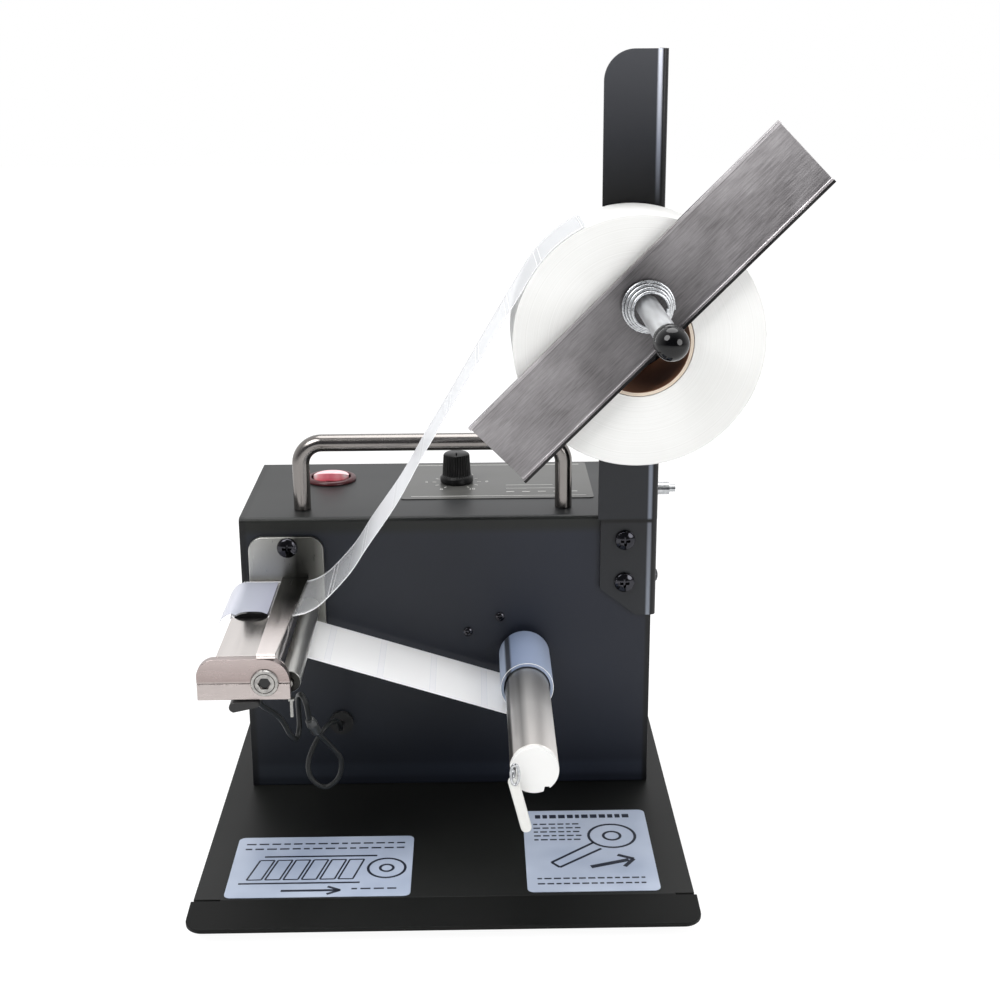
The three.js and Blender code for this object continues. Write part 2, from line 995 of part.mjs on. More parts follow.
// Roll axle with its nut behind the upright and a hollow cap pushed on its end
const nutFront = uprightUpperBack + seat;
piece(
  "roll_axle",
  join(
    rodY(axleRadius, axleEnd, uprightUpperFace - seat, axleX, axleZ, midSides),
    rodY(axleThread, uprightUpperFace - overrun, axleThreadEnd, axleX, axleZ),
  ),
  polished,
  0.2,
  1,
);
piece(
  "axle_nut",
  cut(
    rodY(nutRadius, nutFront, nutFront + nutThickness, axleX, axleZ, 6),
    rodY(axleThread + seat, nutFront - overrun, nutFront + nutThickness + overrun, axleX, axleZ),
  ),
  0x9a9a9a,
  0.3,
  0.9,
);
const capLength = capBack - axleEnd + seat + capSheet;
piece(
  "axle_cap",
  turnedY(
    [
      [0, capLength - capSheet],
      [axleRadius + film, capLength - capSheet],
      [axleRadius + film, 0],
      [capRadius - capSheet / 2, 0],
      [capRadius, capSheet / 2],
      ...arc(0, 0, 1, 0, Math.PI / 2, bendSteps)
        .slice(0, -1)
        .map(([r, h]) => [r * capRadius, capLength + h * capDome]),
      [0, capLength + capDome],
    ],
    axleX,
    capBack,
    axleZ,
  ),
  0x101012,
  0.15,
  0,
);

// Guide bar: a shallow channel at 45 degrees in front of the roll, sliding on the axle
const barBack = rollFront - coreProud - seat;
const barFace = barBack - barSheet;
const barLips = barFace - barFlange;
const barHalf = barLength / 2;
const barSide = barWidth / 2;
piece(
  "guide_bar",
  cut(
    join(
      block(-barHalf, barHalf, barFace, barBack, -barSide, barSide),
      block(-barHalf, barHalf, barLips, barBack, -barSide, -barSide + barSheet),
      block(-barHalf, barHalf, barLips, barBack, barSide - barSheet, barSide),
    ),
    rodY(barHole, barLips - overrun, barBack + overrun, 0, 0, midSides),
  )
    .rotateY(-barAngle)
    .translate(axleX, 0, axleZ),
  0x8c8884,
  0.35,
  1,
);

// Conical spring: curls from the bar to its narrow end round the axle, in one unbroken wire
const springBase = barFace - seat - springWire;
const springPoints = (() => {
  const count = springTurns * springSteps;
  const curls = Array.from({ length: count + 1 }, (_, i) => {
    const share = i / count;
    const a = (2 * Math.PI * i) / springSteps;
    const radius = springBig + (springSmall - springBig) * share;
    return point(
      axleX + radius * Math.cos(a),
      springBase - springDepth * share,
      axleZ + radius * Math.sin(a),
    );
  });
  const first = curls[0].clone().sub(curls[1]).normalize().multiplyScalar(2 * springWire);
  const last = curls[count].clone().sub(curls[count - 1]).normalize().multiplyScalar(2 * springWire);
  return [curls[0].clone().add(first), ...curls, curls[count].clone().add(last)];
})();
piece("guide_spring", tube(springPoints, springWire, springSides), 0xb0b4b6, 0.3, 1);
console.log("least gap of the spring to itself, mm", leastGap(springPoints, springWire).toFixed(2));

function leastGap(points, radius) {
  const far = springSteps / 2;
  return points.reduce((least, a, i) => {
    const rest = points.slice(i + far).map((b) => a.distanceTo(b));
    return Math.min(least, ...rest);
  }, Infinity) - 2 * radius;
}

// Label roll on its core, hanging on the axle
piece(
  "roll_core",
  turnedY(
    [
      [coreInner, -coreProud],
      [coreOuter, -coreProud],
      [coreOuter, rollBack - rollFront + coreProud],
      [coreInner, rollBack - rollFront + coreProud],
      [coreInner, -coreProud],
    ],
    rollX,
    rollBack,
    rollZ,
    fineSides,
  ),
  0x6a4a30,
  0.9,
  0,
);
piece(
  "label_roll",
  turnedY(
    [
      [coreOuter + seat, 0],
      [rollRadius, 0],
      [rollRadius, rollBack - rollFront],
      [coreOuter + seat, rollBack - rollFront],
      [coreOuter + seat, 0],
    ],
    rollX,
    rollBack,
    rollZ,
    fineSides,
  ),
  paper,
  0.7,
  0,
);

// Web of labels from the roll down to the peeling edge, and its liner back to the spindle
const webHalf = webSheet / 2;
const webRadius = rollRadius + seat + webHalf;
const webRest = peelTop + seat + webHalf;
const webTangent = [
  rollX - webRadius * Math.sin(webLeave),
  rollZ + webRadius * Math.cos(webLeave),
];
const webCourse = webCourseShares.map(([across, up]) => [
  webLandingX + (webTangent[0] - webLandingX) * across,
  webRest + (webTangent[1] - webRest) * up,
]);
const webRun = [webTangent, ...webCourse, [webLandingX, webRest], [peelLeft, webRest]];
piece("label_web", slabY(band(webRun, webSheet), webFront, webBack), linerColour, 0.5, 0);
const peeledLevel = webRest + webHalf + film + stickerSheet / 2;
const peeledStart = peelLeft - peeledReach * peeledBendShare;
const peeledRun = [
  [peeledRight, peeledLevel],
  [peeledStart, peeledLevel],
  [peelLeft - peeledReach * (peeledShare + peeledBendShare), peeledLevel - peeledDroop * peeledShare],
  [peelLeft - peeledReach, peeledLevel - peeledDroop],
];
piece(
  "peeled_label",
  slabY(band(peeledRun, stickerSheet), webFront + peeledInset, webBack - peeledInset),
  paper,
  0.6,
  0,
);

// The liner turns round the edge, then lies under the support shaft, the roller and the spindle.
function belt(start, circles) {
  const line = [start];
  let [px, pz, pr] = [...start, 0];
  let heading = null;
  for (const [x, z, r] of circles) {
    const far = Math.hypot(x - px, z - pz);
    const next = Math.atan2(z - pz, x - px) + Math.asin((pr - r) / far);
    if (heading !== null) {
      line.push(...arc(px, pz, pr, heading - Math.PI / 2, next - Math.PI / 2, 2));
    }
    heading = next;
    [px, pz, pr] = [x, z, r];
  }
  line.push([px + pr * Math.sin(heading), pz - pr * Math.cos(heading)]);
  return line;
}
const wrap = seat + webHalf;
const edgeX = peelLeft - seat - webHalf;
const underBevel = [peelLeft + peelBevel, peelTop - peelSheet - wrap];
const linerRun = [
  [edgeX, webRest + webHalf],
  [edgeX, peelTop - peelEdge - webHalf],
  ...belt(underBevel, [
    [peelPivotX, peelPivotZ, supportRadius + wrap],
    [rollerX, rollerZ, rollerRadius + wrap],
    [spindleX, spindleZ, woundOuter + wrap],
  ]),
];
piece("waste_liner", slabY(band(linerRun, webSheet), webFront, webBack), linerColour, 0.5, 0);

// Peeler: mount plate on the housing, bent plate with the peeling edge, and its end plates
const mountBack = -seat;
const mountFace = mountBack - mountSheet;
const mountOutline = [
  [mountLeft, mountBottom],
  [mountRight, mountBottom],
  ...arc(mountRight - mountCorner, mountTop - mountCorner, mountCorner, 0, Math.PI / 2),
  ...arc(mountLeft + mountCorner, mountTop - mountCorner, mountCorner, Math.PI / 2, Math.PI),
];
piece(
  "peeler_mount_plate",
  cut(
    slabY(mountOutline, mountFace, mountBack),
    rodY(panShank + panSlack, mountFace - overrun, overrun, mountScrewX, mountScrewZ),
  ),
  0xa09f9b,
  0.3,
  1,
);
piece(
  "peeler_mount_screw",
  panScrew(panHead, panHeight, panShank, mountSheet + seat + sheet + overrun)
    .rotateX(Math.PI)
    .translate(mountScrewX, mountFace - seat, mountScrewZ),
  0x18181a,
  0.35,
  0.6,
);
const peelBack = mountFace - seat;
const lipAngle = Math.acos((peelLipX - peelPivotX) / peelRound);
const peelerOutline = [
  ...arc(peelPivotX, peelPivotZ, peelRound, lipAngle, Math.PI / 2),
  [peelLeft, peelTop],
  [peelLeft, peelTop - peelEdge],
  [peelLeft + peelBevel, peelTop - peelSheet],
  ...arc(peelPivotX, peelPivotZ, peelRound - peelSheet, Math.PI / 2, lipAngle),
];
piece("peeler_plate", slabY(peelerOutline, peelFront, peelBack), polished, 0.2, 1);
const holdLow = webRest + webHalf + 2 * seat;
const endBack = peelFront - seat;
const endFace = endBack - endThickness;
piece(
  "web_hold_down",
  join(
    slabZ(
      [
        [holdLeft, endFace],
        [holdFront, endFace],
        [holdBack, peelBack],
        [holdLeft, peelBack],
      ],
      holdLow,
      holdLow + holdSheet,
    ),
    block(holdLeft, holdFront, endFace, endFace + holdFoot, peelTop + seat, holdLow + holdSheet),
  ),
  polished,
  0.2,
  1,
);
const bushHole = () =>
  rodY(bushRadius + seat, endFace - overrun, endBack + overrun, peelPivotX, peelPivotZ, midSides);
piece(
  "peeler_end_upper",
  cut(
    slabY(
      [
        [endLeft, endSplit],
        [peelPivotX + peelRound, endSplit],
        ...arc(peelPivotX, peelPivotZ, peelRound, 0, Math.PI / 2),
        ...arc(endLeft + endCorner, peelTop - endCorner, endCorner, Math.PI / 2, Math.PI),
      ],
      endFace,
      endBack,
    ),
    bushHole(),
  ),
  steelGrey,
  0.25,
  1,
);
piece(
  "peeler_end_lower",
  cut(
    slabY(
      [
        [endLeft, endBottom],
        [peelPivotX + peelRound, endBottom],
        [peelPivotX + peelRound, endSplit - seat],
        [endLeft, endSplit - seat],
      ],
      endFace,
      endBack,
    ),
    bushHole(),
  ),
  steelGrey,
  0.25,
  1,
);
piece(
  "support_shaft",
  cut(
    turnedY(
      [
        [0, 0],
        [supportRadius, 0],
        [supportRadius, peelBack - peelFront],
        [bushRadius, peelBack - peelFront],
        [bushRadius, peelBack - endFace + bushProud],
        [0, peelBack - endFace + bushProud],
      ],
      peelPivotX,
      peelBack,
      peelPivotZ,
    ),
    rodY(
      bushHex,
      endFace - bushProud - overrun,
      endFace - bushProud + bushHexDepth,
      peelPivotX,
      peelPivotZ,
      6,
    ),
  ),
  0x9c9c9a,
  0.3,
  1,
);
piece(
  "guide_roller",
  turnedY(
    [
      [rollerBore, 0],
      [rollerRadius, 0],
      [rollerRadius, peelBack - seat - rollerFront],
      [rollerBore, peelBack - seat - rollerFront],
      [rollerBore, 0],
    ],
    rollerX,
    peelBack - seat,
    rollerZ,
  ),
  polished,
  0.15,
  1,
);
const pinTop = endBottom - seat;
piece("roller_pin", rodY(rollerPin, peelFront, peelBack, rollerX, rollerZ), 0x909090, 0.3, 1);
piece(
  "stop_pin",
  turnedZ(
    [
      [0, pinLow],
      [pinRadius, pinLow],
      [pinRadius, pinTop - pinHeadHeight],
      [pinHead, pinTop - pinHeadHeight],
      [pinHead, pinTop],
      [0, pinTop],
    ],
    pinX,
    pinY,
    0,
    smallSides,
  ),
  0xc8c8c4,
  0.3,
  0.8,
);

// Sensor lever under the end plates, and its cable to the housing
const sensorZ = endBottom - 2 * seat - sensorRadius;
const sensorTipZ = endBottom - seat - sensorTip;
piece(
  "sensor_lever",
  slabY(
    [
      ...arc(sensorX, sensorZ, sensorRadius, Math.PI / 2, 1.5 * Math.PI),
      ...arc(sensorRight, sensorTipZ, sensorTip, -Math.PI / 2, Math.PI / 2),
    ],
    sensorFront,
    sensorBack,
  ),
  0x3a3a3a,
  0.6,
  0,
);
const cableDrops = [
  [-81.2, -87, 5.2],
  [-80.6, -85.4, 8],
  [-74.5, -75, 18.9],
  [-70.6, -70, 29.7],
  [-68.6, -65, 33.6],
  [-67.5, -62, 28.6],
  [-67.5, -63, 19.6],
  [-67, -66, 12.6],
  [-65, -70, 10.1],
  [-63.2, -70, 14.1],
  [-62.4, -67, 23.1],
];
const cableFront = [
  [-81.2, -87, sensorTipZ - sensorTip - 2 * seat],
  ...cableDrops.map(([x, y, drop]) => [x, y, sensorTipZ - drop]),
];
const cableSpan = cableFront[cableFront.length - 1][2] - grommetZ;
const cableShares = [
  [-59.4, -62.2, 0.7077],
  [-54.5, -58, 0.4615],
  [-49.8, -55, 0.1846],
  [-51.5, -54, -0.1231],
  [-57.8, -54, -0.2615],
  [-64, -54, -0.1231],
  [-65.2, -53, 0.1231],
  [-61.5, -50, 0.4],
  [-57, -46, 0.5723],
  [-53, -36, 0.5231],
  [-52.5, -22, 0.2154],
];
const cableLoop = [
  ...cableShares.map(([x, y, share]) => [x, y, grommetZ + share * cableSpan]),
  [grommetX, -9, grommetZ + film],
  [grommetX, -5, grommetZ],
  [grommetX, 0, grommetZ],
  [grommetX, 5, grommetZ],
  [grommetX, 9, grommetZ],
];
const cableEnd = (points) => new THREE.CatmullRomCurve3(points.map((p) => point(...p)));
const sleeveStart = point(...cableFront[cableFront.length - 1]);
const sleeveEnd = point(...cableLoop[0]);
const sleeveAxis = sleeveEnd.clone().sub(sleeveStart).normalize();
const trimmed = (points, steps) => cableEnd(points).getSpacedPoints(steps);
piece("sensor_cable_front", tube(trimmed(cableFront, 14), cableRadius, cableSides), 0x3c3e3e, 0.6, 0);
piece("sensor_cable_loop", tube(trimmed(cableLoop, 60), cableRadius, cableSides), 0x3c3e3e, 0.6, 0);
const sleeveSpan = sleeveStart.distanceTo(sleeveEnd) - 2 * seat;
piece(
  "cable_sleeve",
  new THREE.CylinderGeometry(sleeveRadius, sleeveRadius, sleeveSpan, smallSides)
    .applyQuaternion(new THREE.Quaternion().setFromUnitVectors(point(0, 1, 0), sleeveAxis))
    .translate(...sleeveStart.clone().add(sleeveEnd).multiplyScalar(0.5).toArray()),
  0x4a4c4c,
  0.5,
  0,
);
piece(
  "cable_grommet",
  turnedY(
    [
      [cableRadius + seat, -sheet - overrun],
      [grommetHole - seat, -sheet - overrun],
      [grommetHole - seat, seat],
      [grommetRadius, seat],
      [grommetRadius, seat + overrun],
      [cableRadius + seat, seat + overrun],
      [cableRadius + seat, -sheet - overrun],
    ],
    grommetX,
    0,
    grommetZ,
    smallSides,
  ),
  0x1c1c1c,
  0.7,
  0,
);

// Rewind spindle with its plug, the wound liner, the clip in its groove, and the gear motor
const clipRadial = spindleRadius - clipWire;
const clipGroove = (y0, y1) =>
  block(
    spindleX - spindleRadius - overrun,
    spindleX - spindleRadius + spindleSlotDepth,
    y0,
    y1,
    spindleZ - spindleSlotWidth / 2,
    spindleZ + spindleSlotWidth / 2,
  );
const clipBack = woundFront / 2;
piece(
  "spindle_tube",
  cut(
    rodY(spindleRadius, spindleFront, spindleBack, spindleX, spindleZ, midSides),
    clipGroove(spindleFront - overrun, clipBack + overrun),
    rodY(spindleBore, clipBack, spindleBack + overrun, spindleX, spindleZ),
    rodY(spindleBore, spindleFront - overrun, spindleFront + plugStem, spindleX, spindleZ),
  ),
  0xa8aaac,
  0.25,
  1,
);
piece(
  "spindle_plug",
  cut(
    turnedY(
      [
        [0, overrun - plugStem],
        [spindleBore - seat, overrun - plugStem],
        [spindleBore - seat, seat],
        [spindleRadius, seat],
        [spindleRadius, seat + plugThickness],
        [0, seat + plugThickness],
      ],
      spindleX,
      spindleFront,
      spindleZ,
    ),
    clipGroove(spindleFront - plugThickness - overrun, spindleFront),
    block(
      spindleX + spindleRadius / 2,
      spindleX + spindleRadius / 2 + plugNotch,
      spindleFront - plugThickness - overrun,
      spindleFront,
      spindleZ - spindleRadius - overrun,
      spindleZ - spindleRadius + plugNotch,
    ),
  ),
  0xf2f2f0,
  0.5,
  0,
);
piece(
  "wound_liner",
  turnedY(
    [
      [woundInner, 0],
      [woundOuter, 0],
      [woundOuter, woundBack - woundFront],
      [woundInner, woundBack - woundFront],
      [woundInner, 0],
    ],
    spindleX,
    woundBack,
    spindleZ,
    fineSides,
  ),
  0x8c9bb9,
  0.5,
  0,
);
const clipX = spindleX - clipRadial;
const clipBend = 2 * clipWire;
const clipTab = new THREE.ExtrudeGeometry(
  outline(
    roundedRectangle(-clipTabWidth / 2, clipTabWidth / 2, -clipTabLength, clipWire, clipTabWidth / 3),
  ),
  { depth: clipTabSheet, bevelEnabled: false },
)
  .rotateX(Math.PI / 2)
  .rotateY(-clipTabAngle)
  .translate(clipX, clipFront + clipTabSheet / 2, spindleZ - clipBend);
piece(
  "liner_clip",
  join(
    tube(
      [
        point(clipX, clipBack, spindleZ),
        point(clipX, clipFront + clipBend, spindleZ),
        ...arc(clipFront + clipBend, spindleZ - clipBend, clipBend, Math.PI / 2, Math.PI, 4)
          .slice(1)
          .map(([y, z]) => point(clipX, y, z)),
        point(clipX, clipFront, spindleZ - 2 * clipBend),
      ],
      clipWire,
      cableSides,
    ),
    clipTab,
  ),
  0xe6e6e2,
  0.4,
  0.2,
);
piece(
  "output_shaft",
  rodY(shaftRadius, clipBack + seat, sheet + plugStem / 2, spindleX, spindleZ),
  0xb0b0b0,
  0.25,
  1,
);
const gearFront = sheet + seat;
const gearBack = gearFront + gearDepth;
piece(
  "gear_motor",
  cut(
    join(
      rodY(gearRadius, gearFront, gearBack, gearX, gearZ, midSides),
      rodY(motorRadius, gearBack - film, gearBack + motorDepth, gearX + motorOffset, gearZ, midSides),
    ),
    rodY(spindleBore, sheet, sheet + plugStem, spindleX, spindleZ),
    ...gearScrewSpots.map(([x, z]) =>
      rodY(smallShank + seat, sheet, gearFront + panHead + overrun, x, z),
    ),
  ),
  0x8e8e8c,
  0.4,
  0.8,
);
gearScrewSpots.slice(0, 2).forEach(([x, z], i) => {
  piece(
    "motor_screw_" + ["left", "right"][i],
    panScrew(motorHead, motorHeadHeight, smallShank, sheet + seat + panHead)
      .rotateX(Math.PI)
      .translate(x, -seat, z),
    0x18181a,
    0.35,
    0.6,
  );
});

// Electronics: the board on spacers from the rear cover, the transformer, and the power inlet
const spacer = 3 * potShaft;
const boardBack = rearFace - seat - spacer;
const boardLow = boardLift;
const boardTop = boardLift + boardHeight;
const spacerInset = 2 * potShaft;
piece(
  "circuit_board",
  join(
    block(boardLeft, boardRight, boardBack - boardThickness, boardBack, boardLow, boardTop),
    ...[boardLeft + spacerInset, boardRight - spacerInset].flatMap((x) =>
      [boardLow + spacerInset, boardTop - spacerInset].map((z) =>
        rodY(potShaft, boardBack - film, rearFace - seat, x, z),
      ),
    ),
    rodY(potBody, boardBack - 2 * potBodyHeight, boardBack - film, boardLeft / 2, boardLow + 2 * potBody),
    block(
      boardRight - 2 * potBody,
      boardRight - potBody,
      boardBack - potBodyHeight,
      boardBack - film,
      boardLow + potBody,
      boardTop - potBody,
    ),
  ),
  0x2c6b3c,
  0.6,
  0,
);
piece(
  "transformer",
  join(
    block(
      coreX - coreWidth / 2,
      coreX + coreWidth / 2,
      coreY - coreDepth / 4,
      coreY + coreDepth / 4,
      seat,
      coreHeight,
    ),
    rodZ(coilRadius, coreHeight - coilRadius * 2, coreHeight - film, coreX, coreY, midSides),
  ),
  0x6a6460,
  0.6,
  0.5,
);
const inletLeft = inletX - inletWidth / 2;
const inletRight = inletX + inletWidth / 2;
const inletLow = inletZ - inletHeight / 2;
const inletTop = inletZ + inletHeight / 2;
const inletBack = housingDepth + seat;
const blades = [-1, 0, 1].map((side) => {
  const x = inletX + side * inletWall * 2.8;
  const z = inletZ + (side === 0 ? inletWall : 0);
  return block(
    x - inletWall / 3,
    x + inletWall / 3,
    inletBack - inletPocket - film,
    inletBack - inletWall,
    z - inletWall / 2,
    z + inletWall / 2,
  );
});
piece(
  "power_inlet",
  join(
    cut(
      join(
        block(inletLeft, inletRight, inletBack - inletDepth, inletBack + film, inletLow, inletTop),
        block(
          inletLeft - inletBezel,
          inletRight + inletBezel,
          inletBack,
          inletBack + inletFace,
          inletLow - inletBezel,
          inletTop + inletBezel,
        ),
      ),
      block(
        inletLeft + inletWall,
        inletRight - inletWall,
        inletBack - inletPocket,
        inletBack + inletFace + overrun,
        inletLow + inletWall,
        inletTop - inletWall,
      ),
    ),
    ...blades,
  ),
  0x1a1a1a,
  0.5,
  0,
);

// The middle of the underside goes to the origin.
const bounds = new THREE.Box3().setFromObject(model);
const centre = bounds.getCenter(new THREE.Vector3());
model.position.set(-centre.x, -centre.y, -bounds.min.z);
const machine = new THREE.Group();
machine.add(model);

export default machine;
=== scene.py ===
"""A motor-driven desk label dispenser, dressed on its fixed frame."""

import math

import bpy
import numpy as np
from bpy.props import FloatProperty, FloatVectorProperty, IntProperty, PointerProperty
from mathutils import Matrix, Vector


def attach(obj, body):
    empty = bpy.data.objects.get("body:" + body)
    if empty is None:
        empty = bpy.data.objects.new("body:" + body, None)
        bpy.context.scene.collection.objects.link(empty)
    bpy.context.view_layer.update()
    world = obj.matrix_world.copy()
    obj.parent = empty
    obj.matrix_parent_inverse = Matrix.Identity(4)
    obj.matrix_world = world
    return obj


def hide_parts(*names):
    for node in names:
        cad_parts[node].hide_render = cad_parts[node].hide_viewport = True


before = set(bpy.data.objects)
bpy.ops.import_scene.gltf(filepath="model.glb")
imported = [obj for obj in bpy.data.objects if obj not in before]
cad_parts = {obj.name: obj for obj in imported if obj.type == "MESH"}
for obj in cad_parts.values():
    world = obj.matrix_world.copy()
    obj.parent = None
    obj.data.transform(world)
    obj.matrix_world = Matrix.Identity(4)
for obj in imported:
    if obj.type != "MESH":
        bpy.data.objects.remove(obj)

bl_info = {
    "name": "Label dispenser",
    "version": (1, 0, 0),
    "blender": (4, 5, 0),
    "location": "View3D > Sidebar > Dispenser",
    "description": "Builds the visible pieces of a desk label dispenser",
    "category": "Object",
}

MM = 0.001
# The drawing's zero (middle of the housing, its front face, the base plate's top) in the frame.
ZERO = np.array((-0.0268025, 0.0218, 0.010))
STEPS = 16
AROUND = 96
TAU = 2 * math.pi
# Places of the colour sockets in a Mix node.
MIX_A, MIX_B, MIX_RESULT = 6, 7, 2
# Middles of turned pieces, in the drawing's X and Z, or X, Y and Z.
AXLE = (89, 252.5)
ROLL = (86.2, -4.4, 236.2)
SPINDLE = (37.5, 72.0)
SHAFT = (-76.6, 100.2)
ROLLER = (-67, 97.8)
DIAL = (4.7, 59)
SWITCH = (-61, 67)
# Radii of the peeler's shaft, its roller and the liner wound on the spindle.
SHAFT_RADIUS, ROLLER_RADIUS, WOUND = 3.5, 5, 12.4
# The hump of the web over the sensor: its height, and the share of the width that it fades over.
HUMP, HUMP_WIDE = 1.7, 0.25
# The front and back of the web.
WEB_FRONT, WEB_BACK = -51.4, -5


# Colours and materials


def linear(colour):
    """An sRGB hex colour as linear RGBA; a colour that is linear already stays."""
    if not isinstance(colour, str):
        return tuple(colour)
    parts = [int(colour[i : i + 2], 16) / 255 for i in (0, 2, 4)]
    parts = [c / 12.92 if c <= 0.04045 else ((c + 0.055) / 1.055) ** 2.4 for c in parts]
    return (*parts, 1.0)


def fill(tree, node, inputs):
    """Each input gets a link from a socket, or else a value."""
    for key, value in inputs.items():
        if isinstance(value, bpy.types.NodeSocket):
            tree.links.new(value, node.inputs[key])
        else:
            node.inputs[key].default_value = value


def add(tree, kind, inputs=None, output=0, stops=(), **settings):
    """One node with its settings, its inputs and a ramp's stops of (place, colour): gives the
    output that is asked for, or the node where that is None."""
    node = tree.nodes.new("ShaderNode" + kind)
    for key, value in settings.items():
        setattr(node, key, value)
    if stops:
        marks = node.color_ramp.elements
        while len(marks) < len(stops):
            marks.new(0.5)
        # Places come first, since a mark that moves past another changes its number.
        for mark, (at, _) in zip(marks, stops):
            mark.position = at
        for mark, (_, colour) in zip(marks, stops):
            mark.color = colour
    fill(tree, node, inputs or {})
    return node if output is None else node.outputs[output]


def start(name):
    """An empty material and its tree."""
    material = bpy.data.materials.new(name)
    material.use_nodes = True
    material.node_tree.nodes.clear()
    return material, material.node_tree


def shade(tree, inputs):
    """The shader with its inputs, on the material's surface."""
    add(tree, "OutputMaterial", {"Surface": add(tree, "BsdfPrincipled", inputs)}, None)


def turned_space(tree, centre=(0, 0, 0), turn=(0, 0, 0), stretch=(1, 1, 1)):
    """Object coordinates moved to a centre, turned and stretched."""
    space = add(tree, "TexCoord", output="Object")
    for key, value in (("Location", [-c for c in centre]), ("Rotation", turn), ("Scale", stretch)):
        space = add(tree, "Mapping", {"Vector": space, key: value})
    return space


def greys(stops):
    """Stops of (place, level) as linear greys."""
    return [(at, (level, level, level, 1)) for at, level in stops]


def between(low, high, first=0.3, last=0.7):
    """Two tones as the stops of a ramp over a noise, whose values keep to its middle."""
    return [(first, linear(low)), (last, linear(high))]


def surface(tree, tone, bump, rough=None, more=None):
    """A shader from patterns: tone is a pattern and the stops that its colour runs through, bump a
    pattern, its strength and its depth in millimetres, and rough a pattern and the lowest and
    highest roughness."""
    pattern, stops = tone
    height, strength, depth = bump
    relief = {"Height": height, "Strength": strength, "Distance": depth * MM}
    inputs = {
        "Base Color": add(tree, "ValToRGB", {"Fac": pattern}, stops=stops),
        "Normal": add(tree, "Bump", relief),
        **(more or {}),
    }
    if rough:
        pattern, low, high = rough
        spread = {"Value": pattern, "From Min": 0.3, "From Max": 0.7, "To Min": low, "To Max": high}
        inputs["Roughness"] = add(tree, "MapRange", spread)
    shade(tree, inputs)


def fading(tree, axis, stops):
    """A colour that runs along an axis of the frame, from stops of drawing millimetres and hex."""
    space = add(tree, "TexCoord", output="Object")
    along = add(tree, "SeparateXYZ", {"Vector": space}, axis)
    marks = list(stops)
    first, last = (marks[k] * MM + ZERO["XYZ".index(axis)] for k in (0, -1))
    share = add(tree, "MapRange", {"Value": along, "From Min": first, "From Max": last})
    reach = marks[-1] - marks[0]
    shares = [((at - marks[0]) / reach, linear(code)) for at, code in stops.items()]
    return add(tree, "ValToRGB", {"Fac": share}, stops=shares)


def product(tree, colours):
    """Colours multiplied with each other."""
    whole, *others = colours
    settings = {"data_type": "RGBA", "blend_type": "MULTIPLY"}
    for other in others:
        whole = add(tree, "Mix", {0: 1, MIX_A: whole, MIX_B: other}, MIX_RESULT, **settings)
    return whole


def tint(material, **fades):
    """Base colour that runs along an axis of the frame, multiplied by each further fade."""
    tree = material.node_tree
    shader = next(n for n in tree.nodes if n.type == "BSDF_PRINCIPLED")
    colours = [fading(tree, axis, stops) for axis, stops in fades.items()]
    fill(tree, shader, {"Base Color": product(tree, colours)})


def powder_coat(name, low, high, roughness=0.48, gloss=0.5):
    """Polyester powder coat on steel: a fine orange peel, about 0.9 mm across, satin and black."""
    material, tree = start(name)
    space = turned_space(tree)
    peel = add(tree, "TexNoise", {"Vector": space, "Scale": 1100, "Detail": 2})
    cloud = add(tree, "TexNoise", {"Vector": space, "Scale": 9, "Detail": 3})
    rough = cloud, roughness - 0.05, roughness + 0.05
    more = {"Specular IOR Level": gloss}
    surface(tree, (cloud, between(low, high)), (peel, 0.25, 0.06), rough, more)
    return material


def brushed_steel(name, low, high, turn, stretch, roughness=0.34, depth=0.02):
    """Stainless steel brushed with coarse grit: short streaks along the grain, drawn about 0.4 mm
    wide and 12 mm long, on a soft cloud of rolling marks."""
    material, tree = start(name)
    space = turned_space(tree, turn=turn, stretch=stretch)
    fine = add(tree, "TexNoise", {"Vector": space, "Scale": 1, "Detail": 5, "Roughness": 0.7})
    wide = add(tree, "TexNoise", {"Vector": turned_space(tree), "Scale": 38, "Detail": 4})
    both = add(tree, "Math", {0: fine, 1: wide}, operation="ADD")
    half = add(tree, "Math", {0: both, 1: 0.5}, operation="MULTIPLY")
    rough = fine, roughness - 0.08, roughness + 0.1
    tone = half, between(low, high, 0.36, 0.64)
    surface(tree, tone, (fine, 0.3, depth), rough, {"Metallic": 1})
    return material


def bright_steel(name, low, high, roughness=0.16, stretch=(600, 30, 600), mark=0.12, spread=0.2):
    """Polished or ground steel: near mirror, with faint hairlines along the grinding."""
    material, tree = start(name)
    space = turned_space(tree, stretch=stretch)
    hair = add(tree, "TexNoise", {"Vector": space, "Scale": 1, "Detail": 3})
    rough = hair, roughness * (1 - spread), roughness * (1 + spread)
    surface(tree, (hair, between(low, high)), (hair, mark, 0.004), rough, {"Metallic": 1})
    return material


def moulded_plastic(name, low, high, roughness=0.4, grain=700, depth=0.03, coat=0.0, gloss=0.5):
    """Injection moulded plastic: fine even grain and a soft sheen."""
    material, tree = start(name)
    space = turned_space(tree)
    dots = add(tree, "TexNoise", {"Vector": space, "Scale": grain, "Detail": 2})
    cloud = add(tree, "TexNoise", {"Vector": space, "Scale": 30, "Detail": 2})
    rough = cloud, roughness * 0.85, roughness * 1.15
    more = {"Coat Weight": coat, "Specular IOR Level": gloss}
    surface(tree, (cloud, between(low, high)), (dots, 0.3, depth), rough, more)
    return material


